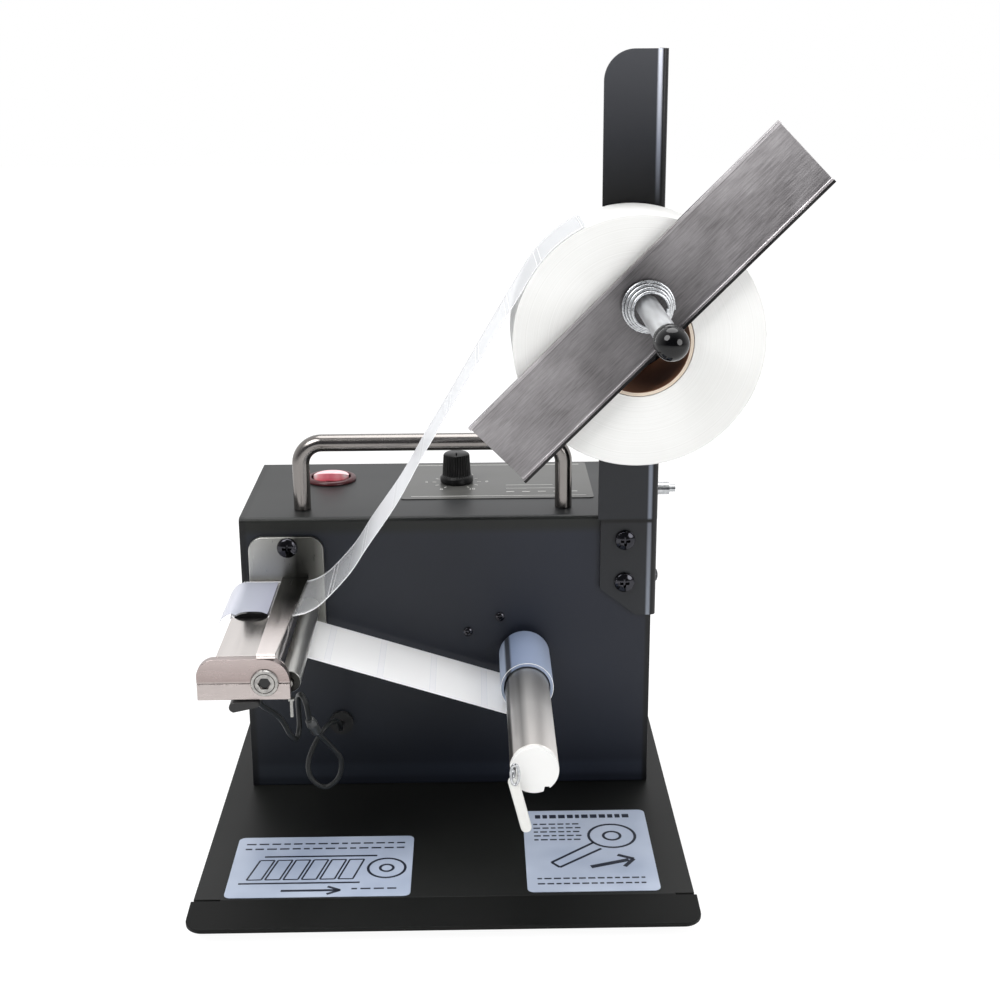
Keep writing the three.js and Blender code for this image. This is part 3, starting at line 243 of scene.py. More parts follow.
def wound_paper(name, low, high, centre, pitch=0.55, see=0.0):
    """Label stock wound on a core: thin rings on the ends, smooth paper outside, and the rings
    drawn 0.55 mm apart so that they show."""
    material, tree = start(name)
    space = turned_space(tree, place(centre))
    flat = add(tree, "Mapping", {"Vector": space, "Scale": (1, 0, 1)})
    far = add(tree, "VectorMath", {0: flat}, "Value", operation="LENGTH")
    uneven = add(tree, "TexNoise", {"Vector": space, "Scale": 25, "Detail": 3})
    count = add(tree, "Math", {0: far, 1: 1 / (pitch * MM)}, operation="MULTIPLY")
    ring = add(tree, "TexNoise", {"W": count, "Scale": 1, "Detail": 4}, noise_dimensions="1D")
    both = add(tree, "Math", {0: ring, 1: uneven}, operation="ADD")
    half = add(tree, "Math", {0: both, 1: 0.5}, operation="MULTIPLY")
    deep = (0.004, 0.004, 0.004)
    more = {"Roughness": 0.62, "Subsurface Weight": see, "Subsurface Radius": deep}
    surface(tree, (half, between(low, high, 0.35, 0.65)), (ring, 0.25, 0.08), more=more)
    return material


def label_strip(name, backing, label, edge, pitch, clear=None):
    """Glassine liner with die-cut labels on it: the strip's own map gives millimetres along and
    across, each label is a paler patch and its cut edge a thin line."""
    gap, width, border, cut, hem = 3, 46.4, 2, 0.25, 0.8
    material, tree = start(name)
    spots = add(tree, "SeparateXYZ", {"Vector": add(tree, "UVMap", uv_map="strip")}, None).outputs
    along = add(tree, "Math", {0: spots["X"], 1: pitch / 2}, operation="PINGPONG")
    off = add(tree, "Math", {0: spots["Y"], 1: width / 2}, operation="SUBTRACT")
    across = add(tree, "Math", {0: off}, operation="ABSOLUTE")

    def patch(grow):
        """One inside a label that is larger by grow on every side."""
        reach = {0: across, 1: width / 2 - border + grow}
        wide = add(tree, "Math", reach, operation="LESS_THAN")
        long = add(tree, "Math", {0: along, 1: gap / 2 - grow}, operation="GREATER_THAN")
        return add(tree, "Math", {0: long, 1: wide}, operation="MULTIPLY")

    inside = patch(0)
    rim = add(tree, "Math", {0: patch(cut), 1: inside}, operation="SUBTRACT")
    relief = {"Height": inside, "Strength": 0.5, "Distance": 0.15 * MM}
    inputs = {"Roughness": 0.34, "Normal": add(tree, "Bump", relief)}
    if clear:
        hems = add(tree, "Math", {0: across, 1: width / 2 - hem}, operation="GREATER_THAN")
        rim = add(tree, "Math", {0: rim, 1: hems}, operation="MAXIMUM")
        far, stops = clear
        share = add(tree, "Math", {0: spots["X"], 1: far}, operation="DIVIDE")
        faint = add(tree, "ValToRGB", {"Fac": share}, stops=greys(stops))
        lines = add(tree, "Math", {0: rim, 1: 0.85}, operation="MULTIPLY")
        inputs["Alpha"] = add(tree, "Math", {0: faint, 1: lines}, operation="MAXIMUM")
    base = {0: inside, MIX_A: linear(backing), MIX_B: linear(label)}
    base = add(tree, "Mix", base, MIX_RESULT, data_type="RGBA")
    lined = {0: rim, MIX_A: base, MIX_B: linear(edge)}
    inputs["Base Color"] = add(tree, "Mix", lined, MIX_RESULT, data_type="RGBA")
    shade(tree, inputs)
    return material


# Surfaces


def place(points):
    """Drawing millimetres as metres in the frame."""
    return np.asarray(points, dtype=float) * MM + ZERO


def signed_volume(points, faces):
    """Six times the volume under faces of one length, each fanned from its first corner."""
    corners = points[faces]
    return (corners[:, :1] * np.cross(corners[:, 1:-1], corners[:, 2:])).sum()


def skin(rings, path_closed=False):
    """A skin over rings of points, as (rings, points, xyz) in drawing millimetres: each point is
    joined to its neighbour in the ring and to its like in the next ring, and the first and last
    ring are filled where the path isn't closed."""
    rings = np.asarray(rings, dtype=float)
    rows, count, _ = rings.shape
    points = place(rings.reshape(-1, 3))
    i = np.arange(rows if path_closed else rows - 1)[:, None]
    j = np.arange(count)
    following, beside = (i + 1) % rows, (j + 1) % count
    corners = (i * count + j, i * count + beside, following * count + beside, following * count + j)
    faces = [np.stack(corners, axis=-1).reshape(-1, 4)]
    if not path_closed:
        faces.append(np.stack([j[::-1], (rows - 1) * count + j]))
    centred = points - points.mean(axis=0)
    if sum(signed_volume(centred, group) for group in faces) < 0:
        faces = [group[:, ::-1] for group in faces]
    return points, faces


def linked(name, data):
    """A new object in the scene."""
    obj = bpy.data.objects.new(name, data)
    bpy.context.scene.collection.objects.link(obj)
    return obj


def solid(name, skins, chart=None):
    """One object from skins of points and groups of faces, with a map in millimetres where it has
    one."""
    faces, base = [], 0
    for points, groups in skins:
        for group in groups:
            faces += (group + base).tolist()
        base += len(points)
    mesh = bpy.data.meshes.new(name)
    mesh.from_pydata(np.concatenate([points for points, _ in skins]), [], faces)
    if chart is not None:
        layer = mesh.uv_layers.new(name="strip")
        corner = np.empty(len(mesh.loops), dtype=np.int32)
        mesh.loops.foreach_get("vertex_index", corner)
        layer.data.foreach_set("uv", np.asarray(chart, dtype=float).reshape(-1, 2)[corner].ravel())
    mesh.validate()
    return linked(name, mesh)


def dress(obj, look, nodes=(), sharp=35.0, bevel=0.0):
    """Material and body, soft or sharp edges, and an edge radius in millimetres; the look's slot is
    not used.
    """
    material, body, slot = look
    obj.data.materials.append(material)
    obj.data.polygons.foreach_set("use_smooth", np.ones(len(obj.data.polygons), dtype=bool))
    if bevel:
        edge = obj.modifiers.new("edge", "BEVEL")
        edge.width = bevel * MM
        edge.segments = 3
        edge.limit_method = "ANGLE"
        edge.angle_limit = math.radians(sharp)
        edge.harden_normals = True
        edge.use_clamp_overlap = True
    else:
        obj.data.set_sharp_from_angle(angle=math.radians(sharp))
    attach(obj, body)
    if nodes:
        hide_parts(*nodes)


def piece(name, look, nodes, *parts, sharp=35.0, bevel=0.0, path_closed=False, chart=None):
    """A visible piece of one or more skins, in place of its CAD nodes."""
    obj = solid(name, [skin(rings, path_closed) for rings in parts], chart)
    dress(obj, look, nodes.split(), sharp, bevel)


def give(nodes, material):
    """CAD nodes that keep their shape get a finish of their own."""
    for name in nodes.split():
        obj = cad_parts[name]
        if not obj.data.materials:
            obj.data.materials.append(material)
        for place_in in obj.material_slots:
            place_in.material = material


def arc(x, y, radius, low, high, steps=STEPS):
    """Points on an arc, with its angles in degrees."""
    a = np.radians(np.linspace(low, high, steps + 1))
    return np.stack([x + radius * np.cos(a), y + radius * np.sin(a)], axis=-1)


def outline(*parts):
    """One outline from points and arcs."""
    return np.concatenate([np.atleast_2d(np.asarray(p, dtype=float)) for p in parts])


def box(x0, x1, y0, y1):
    """The corners of a rectangle."""
    return [(x0, y0), (x1, y0), (x1, y1), (x0, y1)]


def rounded(x0, x1, y0, y1, r, steps=8):
    """The outline of a rectangle with round corners."""
    return outline(
        arc(x1 - r, y0 + r, r, -90, 0, steps),
        arc(x1 - r, y1 - r, r, 0, 90, steps),
        arc(x0 + r, y1 - r, r, 90, 180, steps),
        arc(x0 + r, y0 + r, r, 180, 270, steps),
    )


def slab(flat, low, high, across="Y"):
    """An outline carried along a straight path: in X and Z along Y, in X and Y along Z, or in Y and
    Z along X."""
    along = "XYZ".index(across)
    rings = np.empty((2, len(flat), 3))
    rings[..., [k for k in range(3) if k != along]] = flat
    rings[..., along] = [[low], [high]]
    return rings


def circle(count):
    """Even angles round a full turn."""
    return np.linspace(0, TAU, count, endpoint=False)


def turned(profile, centre, axis="Y", around=AROUND, swell=0):
    """A profile of (radius, height) turned about an axis through a centre: the point at angle a is
    radius times (cos a, sin a), and swell is added to the radius."""
    profile = np.asarray(profile, dtype=float)
    a = circle(around)
    radius = np.maximum(profile[:, :1], 1e-4) + np.zeros_like(a) + swell
    height = profile[:, 1:] + np.zeros_like(a)
    u, v = radius * np.cos(a), radius * np.sin(a)
    x, y, z = centre
    if axis == "Y":
        return np.stack([x + u, y - height, z + v], axis=-1)
    return np.stack([x + u, y + v, z + height], axis=-1)


def heading(path):
    """Unit vectors along a path."""
    run = np.gradient(np.asarray(path, dtype=float), axis=0)
    return run / np.linalg.norm(run, axis=1, keepdims=True)


def travelled(path):
    """The way along a path to each of its points."""
    return np.concatenate([[0], np.cumsum(np.linalg.norm(np.diff(path, axis=0), axis=1))])


def sideways(run):
    """Flat vectors at a right angle to others."""
    return np.stack([-run[:, 1], run[:, 0]], axis=-1)


def tube(path, radius, sides=24):
    """A round section carried along a path: the section's first direction is passed on from step to
    step, less its part along the path, and its second is at a right angle to both."""
    path = np.asarray(path, dtype=float)
    run = heading(path)
    side = np.cross(run[0], (0, 0, 1) if abs(run[0][2]) < 0.9 else (1, 0, 0))
    first = np.empty_like(run)
    for k, step in enumerate(run):
        side = side - step * side.dot(step)
        side = side / np.linalg.norm(side)
        first[k] = side
    second = np.cross(run, first)
    a = circle(sides)[:, None]
    radius = np.broadcast_to(np.asarray(radius, dtype=float), (len(path),))[:, None, None]
    section = np.cos(a) * first[:, None, :] + np.sin(a) * second[:, None, :]
    return path[:, None, :] + radius * section


def smooth_path(points, count):
    """A path of even steps through its points: a Catmull-Rom cubic between each pair."""
    p = np.asarray(points, dtype=float)
    p = np.concatenate([2 * p[:1] - p[1:2], p, 2 * p[-1:] - p[-2:-1]])
    t = np.linspace(0, len(p) - 3, 40 * len(p))
    i = np.minimum(t.astype(int), len(p) - 4)
    f = (t - i)[:, None]
    a, b, c, d = p[i], p[i + 1], p[i + 2], p[i + 3]
    curve = 0.5 * (
        2 * b + (c - a) * f + (2 * a - 5 * b + 4 * c - d) * f**2 + (3 * b - a - 3 * c + d) * f**3
    )
    far = travelled(curve)
    even = np.linspace(0, far[-1], count)
    return np.stack([np.interp(even, far, curve[:, k]) for k in range(3)], axis=-1)


def strip(course, front, back, thickness, rows=24, lift=None):
    """A strip carried along a course in X and Z: across it runs from front to back, its thickness
    is set off along the course's normal, and lift(along, across) raises its middle."""
    course = np.asarray(course, dtype=float)
    normal = sideways(heading(course))
    far = travelled(course)[:, None]
    across = np.linspace(0, 1, rows)[None, :]
    shape = (len(course), rows)
    raise_by = np.zeros(shape) + (lift(far, across) if lift else 0)
    over = np.broadcast_to(front + (back - front) * across, shape)
    sheets = []
    for offset in (thickness / 2, -thickness / 2):
        shift = (raise_by + offset)[..., None] * normal[:, None, :]
        x, z = course[:, None, 0] + shift[..., 0], course[:, None, 1] + shift[..., 1]
        sheets.append(np.stack([x, over, z], axis=-1))
    chart = np.stack(np.broadcast_arrays(far, (back - front) * across), axis=-1)
    rings = np.concatenate([sheets[0], sheets[1][:, ::-1]], axis=1)
    return rings, np.concatenate([chart, chart[:, ::-1]], axis=1)


def printed(points, levels, wide=0.8):
    """A printed line along a flat path, between two levels."""
    p = np.asarray(points, dtype=float)
    side = sideways(heading(p)) * wide / 2
    return slab(np.concatenate([p + side, (p - side)[::-1]]), *levels, "Z")


def screw_head(centre, facing, head, height, recess):
    """A domed head with a cross recess: its height falls off with the square of the radius, and is
    lowered inside two crossed bars, less towards their ends."""
    fall, sunk, flank, tip = 0.55, 0.62, 0.12, 0.5
    radius = head * np.concatenate([[1, 1], np.linspace(0.98, 0.0005, 30)])[:, None]
    a = circle(96)
    share = radius / head
    dome = height * (1 - fall * share**2.2) * np.clip((1 - share) / 0.06, 0.55, 1)
    u, v = radius * np.cos(a), radius * np.sin(a)
    wide, long = recess * 0.13, recess * 0.5

    def bar(along, over):
        """One in the bar, falling to zero over its sides and its ends."""
        share_over = np.clip((wide - np.abs(over)) / flank, 0, 1)
        return share_over * np.clip((long - np.abs(along)) / tip, 0, 1)

    level = dome - height * sunk * np.maximum(bar(u, v), bar(v, u))
    level[0] = 0
    x, y, z = centre
    if facing == "X":
        return np.stack([x + level, y + u, z + v], axis=-1)
    return np.stack([x + u, y - level, z + v], axis=-1)


# Sizes and colours that a user can change


def millimetres(name, description, default):
    """A length, in metres in the scene."""
    return FloatProperty(
        name=name, description=description, default=default * MM, unit="LENGTH", precision=5
    )


def paint(name, code):
    """A tone of a material."""
    kind = {"subtype": "COLOR", "size": 4, "min": 0, "max": 1}
    return FloatVectorProperty(name=name, description=f"{name} tone", default=linear(code), **kind)


class DispenserSizes(bpy.types.PropertyGroup):
    """Lengths of the visible pieces."""

    housing_half: millimetres("Housing half width", "Half the housing's width", 100)
    housing_deep: millimetres("Housing depth", "Housing from front to back", 98)
    housing_high: millimetres("Housing height", "Housing above the base plate", 142)
    sheet: millimetres("Sheet", "Thickness of the housing's sheet", 1.5)
    bend: millimetres("Bend", "Outer radius of the front edge's bend", 2.2)
    rod: millimetres("Handle rod", "Radius of the handle's rod", 4.2)
    rise: millimetres("Handle rise", "Height of the handle's bar above the top", 33.4)
    axle: millimetres("Axle", "Radius of the roll axle", 5)
    roll: millimetres("Roll", "Radius of the label roll", 55.2)
    spindle: millimetres("Spindle", "Radius of the rewind spindle", 10.3)
    bar_long: millimetres("Bar length", "Length of the guide bar", 184)
    bar_wide: millimetres("Bar width", "Width of the guide bar", 35.5)
    wire: millimetres("Spring wire", "Radius of the spring's wire", 0.65)
    pitch: millimetres("Label pitch", "Distance from label to label", 25.4)
    turns: IntProperty(name="Spring turns", description="Curls of the spring", default=4, min=1)


class DispenserColours(bpy.types.PropertyGroup):
    """Darker and lighter tones of the materials."""

    base_low: paint("Base plate, darker", "0B0C0B")
    base_high: paint("Base plate, lighter", "121311")
    film_low: paint("Sticker, darker", "9DA9BE")
    film_high: paint("Sticker, lighter", "B9C3D4")
    label_low: paint("Control label, darker", "4C4C4A")
    label_high: paint("Control label, lighter", "585855")
    knob_low: paint("Speed knob, darker", "040404")
    knob_high: paint("Speed knob, lighter", "0A0A0A")
    cap_low: paint("Axle cap, darker", "020203")
    cap_high: paint("Axle cap, lighter", "050506")
    roll_low: paint("Label roll, darker", "DEDEDB")
    roll_high: paint("Label roll, lighter", "E8E8E6")
    plug_low: paint("Spindle plug, darker", "DEDEDC")
    plug_high: paint("Spindle plug, lighter", "E8E8E6")


def tones(key):
    """A material's darker and lighter tone."""
    held = bpy.context.scene.dispenser_colours
    return getattr(held, key + "_low"), getattr(held, key + "_high")


def sizes():
    """The sizes, in millimetres."""
    held = bpy.context.scene.dispenser_sizes
    return {k: getattr(held, k) / MM for k in DispenserSizes.__annotations__ if k != "turns"}


# Operators


class Piece(bpy.types.Operator):
    """Base of the operators: each builds its pieces or raises an error."""

    bl_options = {"REGISTER"}

    def execute(self, context):
        self.build(sizes())
        return {"FINISHED"}


class DISPENSER_OT_stage(Piece):
    """Camera, lamps, white surroundings and floor"""

    bl_idname = "dispenser.stage"
    bl_label = "Stage"

    def build(self, s):
        scene = bpy.context.scene
        scene.view_settings.view_transform = "Standard"
        camera = bpy.data.cameras.new("camera")
        camera.sensor_fit = "HORIZONTAL"
        camera.sensor_width, camera.lens, camera.clip_end = 36, 55.77, 50
        eye = linked("camera", camera)
        pitch, yaw, roll = (math.radians(v) for v in (16.76, 0.98, -0.32))
        level = math.cos(pitch)
        ahead = Vector((math.sin(yaw) * level, math.cos(yaw) * level, -math.sin(pitch)))
        right = Vector((math.cos(yaw), -math.sin(yaw), 0))
        up = right.cross(ahead)
        across = math.cos(roll) * right + math.sin(roll) * up
        over = -math.sin(roll) * right + math.cos(roll) * up
        turn = Matrix((across, over, -ahead)).transposed().to_4x4()
        eye.matrix_world = Matrix.Translation(Vector(place((13.85, -713.8, 365.1)))) @ turn
        scene.camera = eye
        self.lamp("key", (-0.75, -0.75, 1.25), 0.9, 15)
        self.lamp("fill", (0.95, -0.95, 0.6), 0.8, 8)
        self.lamp("top", (0.1, 0.35, 1.5), 1.2, 13)
        self.surroundings()
        self.floor()

    def lamp(self, name, at, size, power):
        """A round lamp that looks at the machine's middle."""
        light = bpy.data.lights.new(name, "AREA")
        light.shape, light.size, light.energy = "DISK", size, power
        obj = linked(name, light)
        obj.location = at
        target = Vector((0.02, 0, 0.15))
        obj.rotation_euler = (target - obj.location).to_track_quat("-Z", "Y").to_euler()

    def floor(self):
        """A matt white floor that the camera sees mostly as plain light, and metal less so."""
        floor = solid("floor", [skin(slab(rounded(-4000, 4000, -4000, 4000, 10), -30, -10, "Z"))])
        material, tree = start("white_floor")
        grain = add(tree, "TexNoise", {"Vector": turned_space(tree), "Scale": 3, "Detail": 2})
        colour = add(tree, "ValToRGB", {"Fac": grain}, stops=between("F4F4F4", "F7F7F7"))
        inputs = {"Base Color": colour, "Roughness": 0.9, "Specular IOR Level": 0.1}
        matt = add(tree, "BsdfPrincipled", inputs)
        glow = add(tree, "Emission", {"Color": (1, 1, 1, 1), "Strength": 1.17})
        rays = add(tree, "LightPath", output=None).outputs
        seen = add(tree, "Math", {0: rays["Is Camera Ray"], 1: 0.8}, operation="MULTIPLY")
        inputs = {0: rays["Is Glossy Ray"], 1: 0.35, 2: seen}
        share = add(tree, "Math", inputs, operation="MULTIPLY_ADD")
        both = add(tree, "MixShader", {"Fac": share, 1: matt, 2: glow})
        add(tree, "OutputMaterial", {"Surface": both}, None)
        floor.data.materials.append(material)

    def surroundings(self):
        """White behind and above, and a darker studio behind the camera for metal to mirror."""
        world = bpy.data.worlds.new("white_studio")
        bpy.context.scene.world = world
        world.use_nodes = True
        tree = world.node_tree
        tree.nodes.clear()
        space = add(tree, "TexCoord", output="Generated")
        depth = add(tree, "SeparateXYZ", {"Vector": space}, "Y")
        share = add(tree, "MapRange", {"Value": depth, "From Min": -1, "From Max": 1})
        stops = [(0.12, (0.10, 0.10, 0.11, 1)), (0.62, (0.85, 0.85, 0.86, 1))]
        studio = add(tree, "ValToRGB", {"Fac": share}, stops=stops)
        rays = add(tree, "LightPath", output=None).outputs
        inputs = {0: rays["Is Glossy Ray"], 1: 0.4, 2: 0.75}
        strength = add(tree, "Math", inputs, operation="MULTIPLY_ADD")
        lit = add(tree, "Background", {"Color": studio, "Strength": strength})
        white = add(tree, "Background", {"Color": (1, 1, 1, 1), "Strength": 1})
        both = add(tree, "MixShader", {"Fac": rays["Is Camera Ray"], 1: lit, 2: white})
        add(tree, "OutputWorld", {"Surface": both}, None)


class DISPENSER_OT_housing(Piece):
    """Bent front and top sheet, side panels and rear cover"""

    bl_idname = "dispenser.housing"
    bl_label = "Housing"

    def build(self, s):
        # Satin black, with painted light and shade: a little lighter where a bend or an edge
        # catches the light, darker in a band below the top bend and at both side edges, and lighter
        # and bluer towards the right.
        black = powder_coat("housing_powder_coat", "14181F", "1D222B", 0.42, 0.4)
        rise = {0: "191D25", 3.5: "191D25", 5.5: "262A32", 10: "262A32", 13: "191D25"}
        rise |= {133: "1A1E27", 136.5: "12140F", 141: "12140F", 141.8: "1C1E1D"}
        wide = {-100: "7C7C7C", -97.2: "7C7C7C", -96.4: "E0E2E0", 0: "CED4E2", 60: "EAEEFF"}
        wide |= {97.2: "F0F2FF", 97.8: "666666", 100: "666666"}
        tint(black, Z=rise, X=wide)
        low, high, deep, t, r = 0.3, s["housing_high"], s["housing_deep"], s["sheet"], s["bend"]
        section = outline(
            [(0, low), (t, low)],
            arc(r, high - r, r - t, 180, 90),
            [(deep, high - t), (deep, high)],
            arc(r, high - r, r, 90, 180),
        )
        half = s["housing_half"]
        look = black, "machine", "housing_paint"
        piece("housing_shell", look, "front_panel", slab(section, -half, half, "X"), bevel=0.25)
        give("left_side_panel right_side_panel rear_cover", black)


class DISPENSER_OT_base(Piece):
    """Base plate with its front lip, feet and instruction stickers"""

    bl_idname = "dispenser.base"
    bl_label = "Base plate"
    ink_levels = 0.3, 0.39

    def build(self, s):
        # Nearly matt black, so that the plate stays darker than the housing.
        black = powder_coat("base_powder_coat", *tones("base"), 0.5, 0.3)
        left, right, bend, back, t, under = -112, 109.4, -108.6, 98, 2, -6
        cut, slot_left, slot_right = 0.6, left + 12, right - 8.5
        top = [(slot_right, bend + cut), (right, bend + cut), (right, back), (left, back)]
        top += [(left, bend + cut), (slot_left, bend + cut), (slot_left, bend), (slot_right, bend)]
        flanges = (
            (left, left + t, bend + t, back),
            (right - t, right, bend + t, back),
            (left + t, right - t, back - t, back),
        )
        deck = [slab(top, -t, 0, "Z")] + [slab(box(*f), under, -t, "Z") for f in flanges]
        piece("base_deck", (black, "machine", "base_paint"), "base_plate", *deck, bevel=0.35)
        reach, r, over = 21.4, 8, 1
        flat = outline(
            [(left - over, -cut)],
            arc(left - over + r, -reach + r, r, 180, 270),
            arc(right + over - r, -reach + r, r, 270, 360),
            [(right + over, -cut), (slot_right, -cut), (slot_right, 0.2)],
            [(slot_left, 0.2), (slot_left, -cut)],
        )
        rings = slab(flat, -t, 0, "Z")
        droop = math.radians(4.5)
        y, z = rings[..., 1].copy(), rings[..., 2].copy()
        rings[..., 1] = bend + y * math.cos(droop) - z * math.sin(droop)
        rings[..., 2] = y * math.sin(droop) + z * math.cos(droop)
        # The lip's coat is a darker copy of the base coat: painted shade, since the lip leans away
        # from the light.
        lip = powder_coat("base_lip_powder_coat", "060706", "0B0C0B", 0.5, 0.15)
        piece("base_lip", (lip, "machine", "base_paint"), "base_plate", rings, bevel=0.35)
        # Moulded rubber: black and dull.
        rubber = moulded_plastic("foot_rubber", "141414", "1C1C1C", 0.85)
        give("foot_front_left foot_front_right foot_back_left foot_back_right", rubber)
        # Printed polypropylene: flat pale blue with a soft gloss.
        film = moulded_plastic("printed_sticker_film", *tones("film"), 0.35, 300, 0.01)
        # Printed ink: dark blue, even, without grain.
        ink = moulded_plastic("sticker_ink", "141A28", "1E2434", 0.5)
        for name, edges, lines in (
            ("sticker_left", (-99, -16.5, -107.6, -54.2), self.left_drawing),
            ("sticker_right", (35.6, 95, -106.2, -31.6), self.right_drawing),
        ):
            sheet = slab(rounded(*edges, 3), 0.1, 0.32, "Z")
            piece(name + "_film", (film, "machine", "sticker_film"), name, sheet)
            piece(name + "_ink", (ink, "machine", "sticker_film"), "", *lines(edges))

    def path(self, edges, *points, wide=0.8):
        """Straight lines through points given as shares of a sticker."""
        x0, x1, y0, y1 = edges
        spots = [(x0 + u * (x1 - x0), y0 + v * (y1 - y0)) for u, v in points]
        return [printed(pair, self.ink_levels, wide) for pair in zip(spots, spots[1:])]

    def rings(self, edges, u, v, radii, wide):
        """Circles round a point."""
        x0, x1, y0, y1 = edges
        a = np.linspace(0, TAU, 33)
        middle = np.array([(x0 + u * (x1 - x0), y0 + v * (y1 - y0))])
        unit = np.stack([np.cos(a), np.sin(a)], -1)
        return [printed(middle + radius * unit, self.ink_levels, wide) for radius in radii]

    def dashes(self, edges, u0, u1, v, rows, step, wide=1.1):
        """Rows of dashes of uneven length."""
        made = []
        for row in range(rows):
            u, level = u0, v - step * row
            while u < u1 - 0.02:
                reach = 0.03 + 0.025 * abs(math.sin(37 * u + 11 * row))
                made += self.path(edges, (u, level), (min(u + reach, u1), level), wide=wide)
                u += reach + 0.018
        return made

    def left_drawing(self, edges):
        """A row of leaning boxes between two lines, two circles and an arrow."""
        lines = self.dashes(edges, 0.05, 0.95, 0.88, 2, 0.085)
        for i in range(6):
            u = 0.1 + 0.1 * i
            corners = (u, 0.28), (u + 0.08, 0.28), (u + 0.13, 0.6), (u + 0.05, 0.6), (u, 0.28)
            lines += self.path(edges, *corners)
        lines += self.path(edges, (0.06, 0.22), (0.72, 0.22), wide=1.2)
        lines += self.path(edges, (0.17, 0.66), (0.8, 0.66), wide=1.2)
        lines += self.rings(edges, 0.86, 0.45, (8.5, 3), 1.2)
        lines += self.path(edges, (0.3, 0.1), (0.6, 0.1), wide=1.6)
        lines += self.path(edges, (0.55, 0.04), (0.62, 0.1), (0.55, 0.16), wide=1.4)
        return lines + self.dashes(edges, 0.68, 0.95, 0.12, 1, 0.1)

    def right_drawing(self, edges):
        """A heading bar, a block of dashes, a reel with its strip, and an arrow."""
        lines = self.dashes(edges, 0.1, 0.9, 0.92, 1, 0.1, 3.4)
        lines += self.dashes(edges, 0.08, 0.46, 0.82, 5, 0.05)
        lines += self.rings(edges, 0.7, 0.66, (11, 4), 1.3)
        near, low = (0.2, 0.34), (0.26, 0.28)
        for ends in (((0.55, 0.58), near), ((0.6, 0.5), low), (near, low)):
            lines += self.path(edges, *ends, wide=1.3)
        lines += self.path(edges, (0.5, 0.28), (0.8, 0.36), wide=2.6)
        lines += self.path(edges, (0.72, 0.42), (0.84, 0.37), (0.76, 0.28), wide=2)
        return lines + self.dashes(edges, 0.08, 0.9, 0.15, 2, 0.06)


